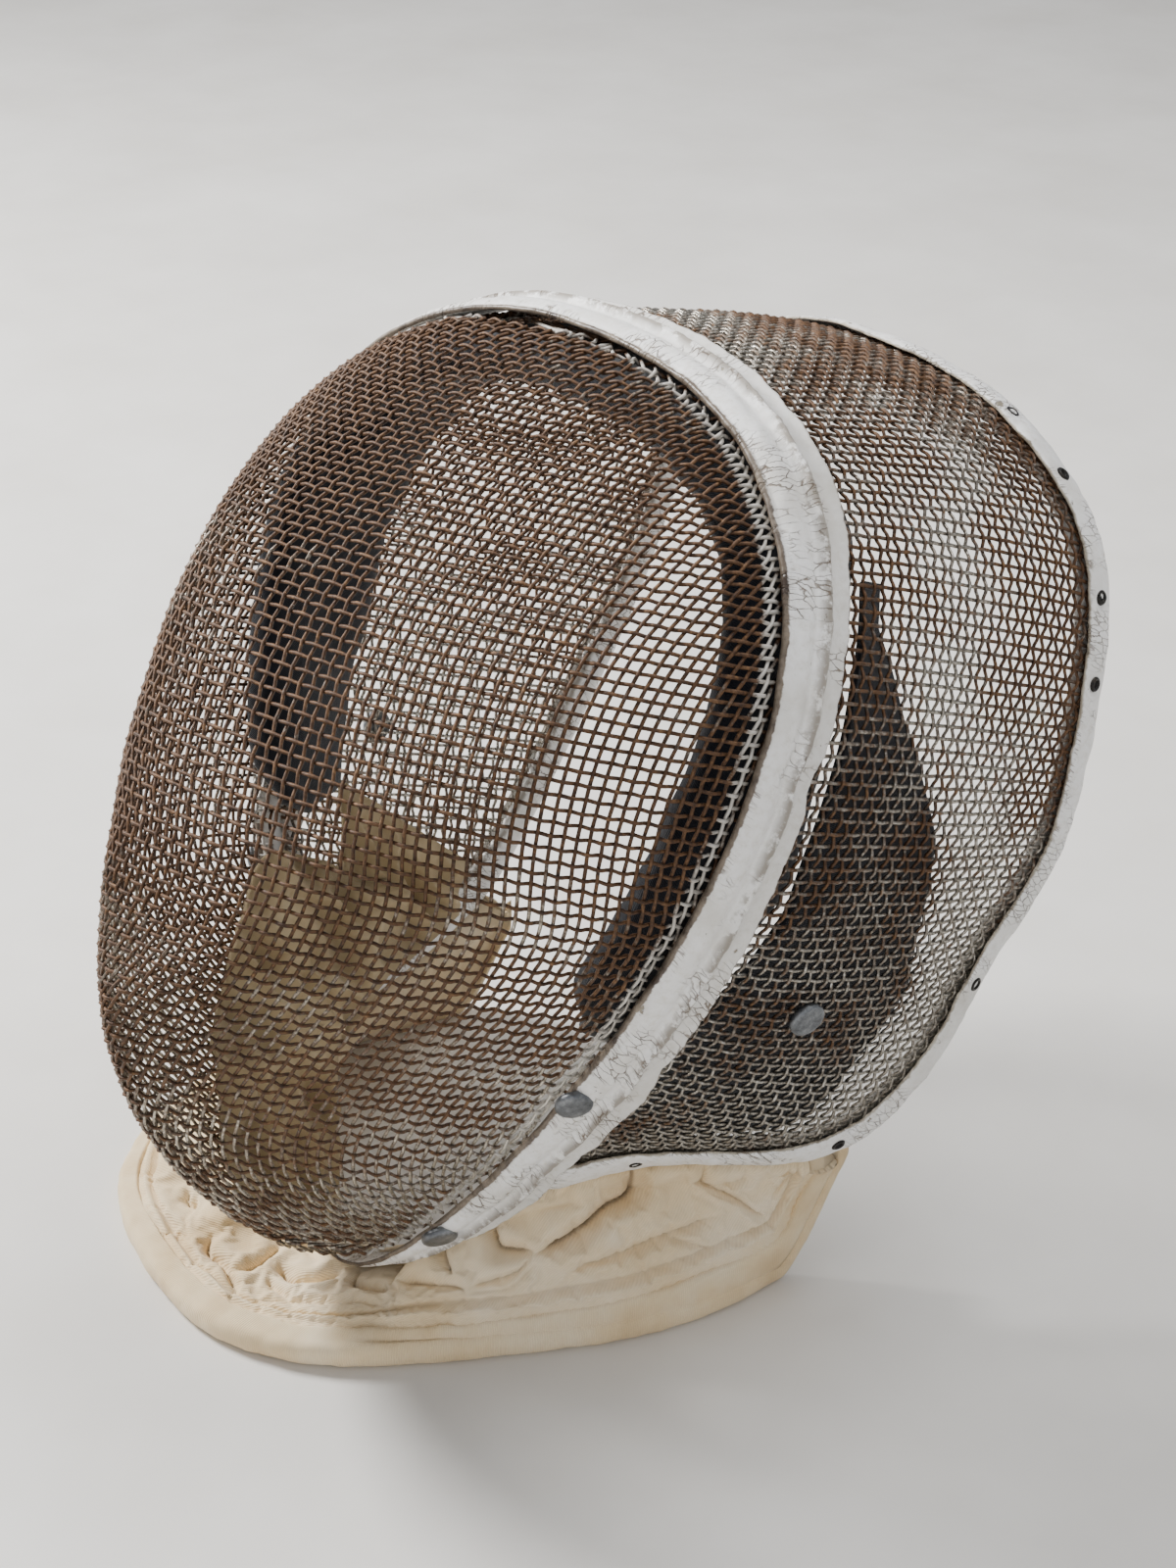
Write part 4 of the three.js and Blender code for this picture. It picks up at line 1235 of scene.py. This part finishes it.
def leather_material(name, crease, back_edge, crack_scale, cracked, raw):
    """White paint on leather: dirty along its crease, painted darker behind the crease as shade, cracked, and
    rubbed to a raw colour at both edges.
    """
    look = Look(name, Specular_IOR_Level=0.4)
    across = look.part(1, look.flat)
    broad = look.noise(32, 5, 0.65)
    middle = look.noise(130, 5, 0.7)
    fine = look.noise(420, 5, 0.65)
    paint = look.ramp(fine, (0.28, "#dedad1"), (0.5, "#f0eeea"), (0.75, "#faf9f7"))
    grime = look.between(broad + fine * 0.35, 0.66, 0.95)
    tint = look.mix(grime * 0.45, paint, "#b0a690")
    by_crease = 1.0 - look.between(abs(across - crease), 0.0003, 0.0024)
    # Grey dirt in patches along the crease.
    dirt_and_painted_shade = by_crease * look.between(middle, 0.42, 0.53)
    tint = look.mix(dirt_and_painted_shade * 0.85, tint, "#81776a")
    # Painted shade: the part behind the crease is painted greyer, as though it were turned away from the
    # light.
    behind = look.between(across, crease - 0.001, crease + 0.002)
    tint = look.mix(behind * 0.3, tint, "#a9a294")
    by_front = 1.0 - look.between(across - middle * 0.004, 0.0006, 0.0016)
    in_places = look.between(look.noise(70, 3, 0.6), 0.5, 0.62)
    ticks = look.cracks((700, 45, 300), 0.0005)
    tick = (1.0 - look.between(ticks, 0.0, 0.07)) * by_front * in_places
    tint = look.mix(tick * 0.85, tint, "#5a4535")
    opened = look.between(look.noise(42, 3, 0.6), 0.60 - cracked, 0.72 - cracked)
    line = (1.0 - look.between(look.cracks(crack_scale, 0.0007), 0.0, 0.05)) * opened
    tint = look.mix(line * 0.9, tint, "#6d5a46")
    peeled = look.between(middle, 0.655, 0.685)
    tint = look.mix(peeled, tint, look.ramp(fine, (0.35, "#7d7566"), (0.65, "#a79c88")))
    wandering = across + (fine - 0.5) * 0.0022
    edge = 1.0 - look.between(wandering, 0.0006, 0.0013)
    rear = look.between(wandering, back_edge - 0.0006, back_edge)
    bare = look.maths("MAXIMUM", edge, rear)
    tint = look.mix(bare, tint, look.ramp(middle, (0.35, raw[0]), (0.65, raw[1])))
    normal = look.bump(fine * 0.3 - line * 0.9 - peeled * 0.7, 0.8, 0.0006)
    rough = look.maths("MAXIMUM", grime, dirt_and_painted_shade) * 0.3 + 0.36
    return look.finish(Base_Color=tint, Roughness=rough, Normal=normal)


def cotton_material(name, base, stain, twill, direction):
    """Soft cotton with its weave, worn patches, a few stains, and painted shade in its creases, along its
    stitches and where it tucks in under the leather.
    """
    look = Look(name, Sheen_Weight=0.2, Sheen_Roughness=0.6, Specular_IOR_Level=0.2)
    tint = look.ramp(look.noise(24, 4, 0.6), (0.32, stain), (0.5, base), (0.72, "#f8ead0"))
    tint = look.mix(look.noise(260, 4, 0.6) * 0.16, tint, "#b79a70")
    spots = look.between(look.noise(75, 3, 0.7), 0.68, 0.8)
    tint = look.mix(spots * 0.35, tint, "#96744a")
    # Painted shade from the creases, stitches and tuck, read from each vertex.
    tint = look.mix(look.between(look.attribute("dirt_and_painted_shade"), 0.1, 1.0) * 0.7, tint, "#5f4a33")
    rib = look.wave(twill, direction, 0.5)
    tint = look.mix(rib * 0.14, tint, "#a08458")
    normal = look.bump(rib * 0.7 + look.noise(2200, 2, 0.6) * 0.5, 0.5, 0.0003)
    return look.finish(Base_Color=tint, Roughness=0.92, Normal=normal)


def dark_cloth_material():
    look = Look("navy_cloth", Sheen_Weight=0.35, Sheen_Roughness=0.5, Specular_IOR_Level=0.15)
    tint = look.ramp(look.noise(60, 4, 0.6), (0.3, "#101116"), (0.6, "#1d1f26"), (0.85, "#2c2d31"))
    weave = look.wave(900, "DIAGONAL", 0.4)
    normal = look.bump(weave * 0.5 + look.noise(1200, 3, 0.6), 0.5, 0.0004)
    return look.finish(Base_Color=tint, Roughness=0.95, Normal=normal)


def canvas_material():
    look = Look("lining_canvas", Sheen_Weight=0.2, Specular_IOR_Level=0.15)
    tint = look.ramp(look.noise(35, 4, 0.6), (0.3, "#a8926c"), (0.55, "#cfb88f"), (0.8, "#e6d4ae"))
    # Painted shade in the recessed folds of the lining, read from each vertex.
    tint = look.mix(look.attribute("dirt_and_painted_shade") * 0.5, tint, "#6a583c")
    weave = look.wave(1100, "X", 0.3) + look.wave(1100, "Y", 0.3)
    normal = look.bump(weave * 0.4 + look.noise(500, 3, 0.6), 0.5, 0.0004)
    return look.finish(Base_Color=tint, Roughness=0.95, Normal=normal)


def zinc_material():
    look = Look("zinc", Metallic=0.7)
    fine = look.noise(700, 5, 0.7)
    broad = look.noise(220, 4, 0.6)
    tint = look.ramp((fine + broad) * 0.5, (0.3, "#3d3e40"), (0.5, "#717477"), (0.72, "#a3a5a6"))
    rough = look.ramp(fine, (0.3, 0.3), (0.7, 0.6))
    scratch = look.noise((2500, 200, 2500), 3, 0.6)
    normal = look.bump(fine + scratch * 0.5, 0.5, 0.0003)
    return look.finish(Base_Color=tint, Roughness=rough, Normal=normal)


def dark_metal_material():
    look = Look("dark_eyelet", Metallic=0.6)
    fine = look.noise(900, 4, 0.7)
    tint = look.ramp(fine, (0.35, "#0e0d0c"), (0.6, "#2a2622"), (0.8, "#55493c"))
    rough = look.ramp(fine, (0.3, 0.3), (0.7, 0.55))
    return look.finish(Base_Color=tint, Roughness=rough, Normal=look.bump(fine, 0.5, 0.0003))


# ---- the object ----
def stands_for(made, node):
    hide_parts(node)


def build_meshes():
    rust_warp = wire_material("rusty_wire_warp", 0.44, "#a89f90", 0.04, 0.2, 0.24)
    rust_weft = wire_material("rusty_wire", 0.58, "#857b6e", 0.04, 0.2, 0.26)
    grey_warp = wire_material("grey_wire_back", 0.34, "#a39d92", 0.08, 0.24, 0.18)
    grey_weft = wire_material("grey_wire", 0.38, "#958e83", 0.08, 0.24, 0.18)
    net = Net()
    stands_for(tubes("face_wires_warp", face_wires(net, "warp", 2), rust_warp), "face_mesh")
    tubes("face_wires_weft", face_wires(net, "weft", 3), rust_weft)
    tree = side_surface()
    turns = side_turns(tree)
    around = side_wires(tree, turns, "around", 3)
    stands_for(tubes("side_wires_around", around, grey_weft), "side_mesh")
    back = side_wires(tree, turns, "back", 2)
    tubes("side_wires_back", back, grey_warp)


def build_leather():
    brown, pale = ("#3f332a", "#857868"), ("#7d7161", "#bdb4a2")
    paint = leather_material("painted_leather", 0.0138, 0.0232, (430, 150, 300), 0.11, brown)
    stands_for(seam_band(paint), "seam_band")
    paint = leather_material("trim_leather", 0.03, 0.05, (520, 170, 300), 0.16, pale)
    stands_for(rear_trim(paint), "rear_trim")


def stretched(made, middle):
    wide = lengths(middle)[-1] * MM
    sheet_area(middle) / wide


def build_cloth():
    navy = dark_cloth_material()
    pad = head_pad(navy)
    stands_for(pad, "head_pad")
    flap, flap_middle = ear_flap(navy)
    stands_for(flap, "ear_flap")
    stretched(flap, flap_middle)
    lining, lining_middle = chin_lining(canvas_material())
    stands_for(lining, "chin_lining")
    stretched(lining, lining_middle)
    body = bib_body(cotton_material("cream_cotton", "#f0dab2", "#dcc092", 560, "DIAGONAL"))
    stands_for(body, "bib")
    binding = bib_binding(cotton_material("cream_binding", "#edd6ac", "#d5b787", (450, 0, 0), "X"))
    stands_for(binding, "bib_binding")


# ---- floor, light and camera ----
# Size, watts and place of each lamp; all of them aim at the middle of the mask.
LAMPS = {
    "key": (0.5, 62, (-1.25, -0.5, 1.15)),
    "fill": (1.6, 7, (1.4, -0.9, 0.8)),
    "top": (0.9, 16, (0.1, 0.5, 1.6)),
}
LAMP_AIM = (0, 0, 0.12)
SKY_COLOUR, SKY_STRENGTH = (0.9, 0.93, 1.0, 1), 0.46
CAMERA = (0.5196, -0.3872, 0.5312)
TARGET = (0.02338, 0.00181, 0.1611)
LENS, SENSOR = 58.517, 36


def stage():
    bpy.ops.mesh.primitive_plane_add(size=6, location=(0, 0, 0))
    floor = bpy.context.object
    floor.name = "floor"
    look = Look("floor")
    tint = look.ramp(look.noise(9, 4, 0.6), (0.3, "#d6d2cb"), (0.7, "#e2dfd9"))
    floor.data.materials.append(look.finish(Base_Color=tint, Roughness=0.6))


def aimed(name, data, place, aim):
    """An object with these data that looks from a place at another."""
    made = bpy.data.objects.new(name, data)
    made.location = place
    made.rotation_euler = (Vector(aim) - Vector(place)).to_track_quat("-Z", "Y").to_euler()
    bpy.context.scene.collection.objects.link(made)
    return made


def lights_and_camera():
    for name, (size, power, place) in LAMPS.items():
        light = bpy.data.lights.new(name, "AREA")
        light.shape = "DISK"
        light.size = size
        light.energy = power
        aimed(name, light, place, LAMP_AIM)
    world = bpy.data.worlds.new("studio")
    world.use_nodes = True
    world.node_tree.nodes["Background"].inputs["Color"].default_value = SKY_COLOUR
    world.node_tree.nodes["Background"].inputs["Strength"].default_value = SKY_STRENGTH
    bpy.context.scene.world = world
    data = bpy.data.cameras.new("camera")
    data.sensor_fit = "VERTICAL"
    data.sensor_height = SENSOR
    data.sensor_width = SENSOR
    data.lens = LENS
    bpy.context.scene.camera = aimed("camera", data, CAMERA, TARGET)


build_meshes()
build_leather()
metal_heads(zinc_material(), dark_metal_material())
build_cloth()
stage()
lights_and_camera()
bpy.context.view_layer.update()
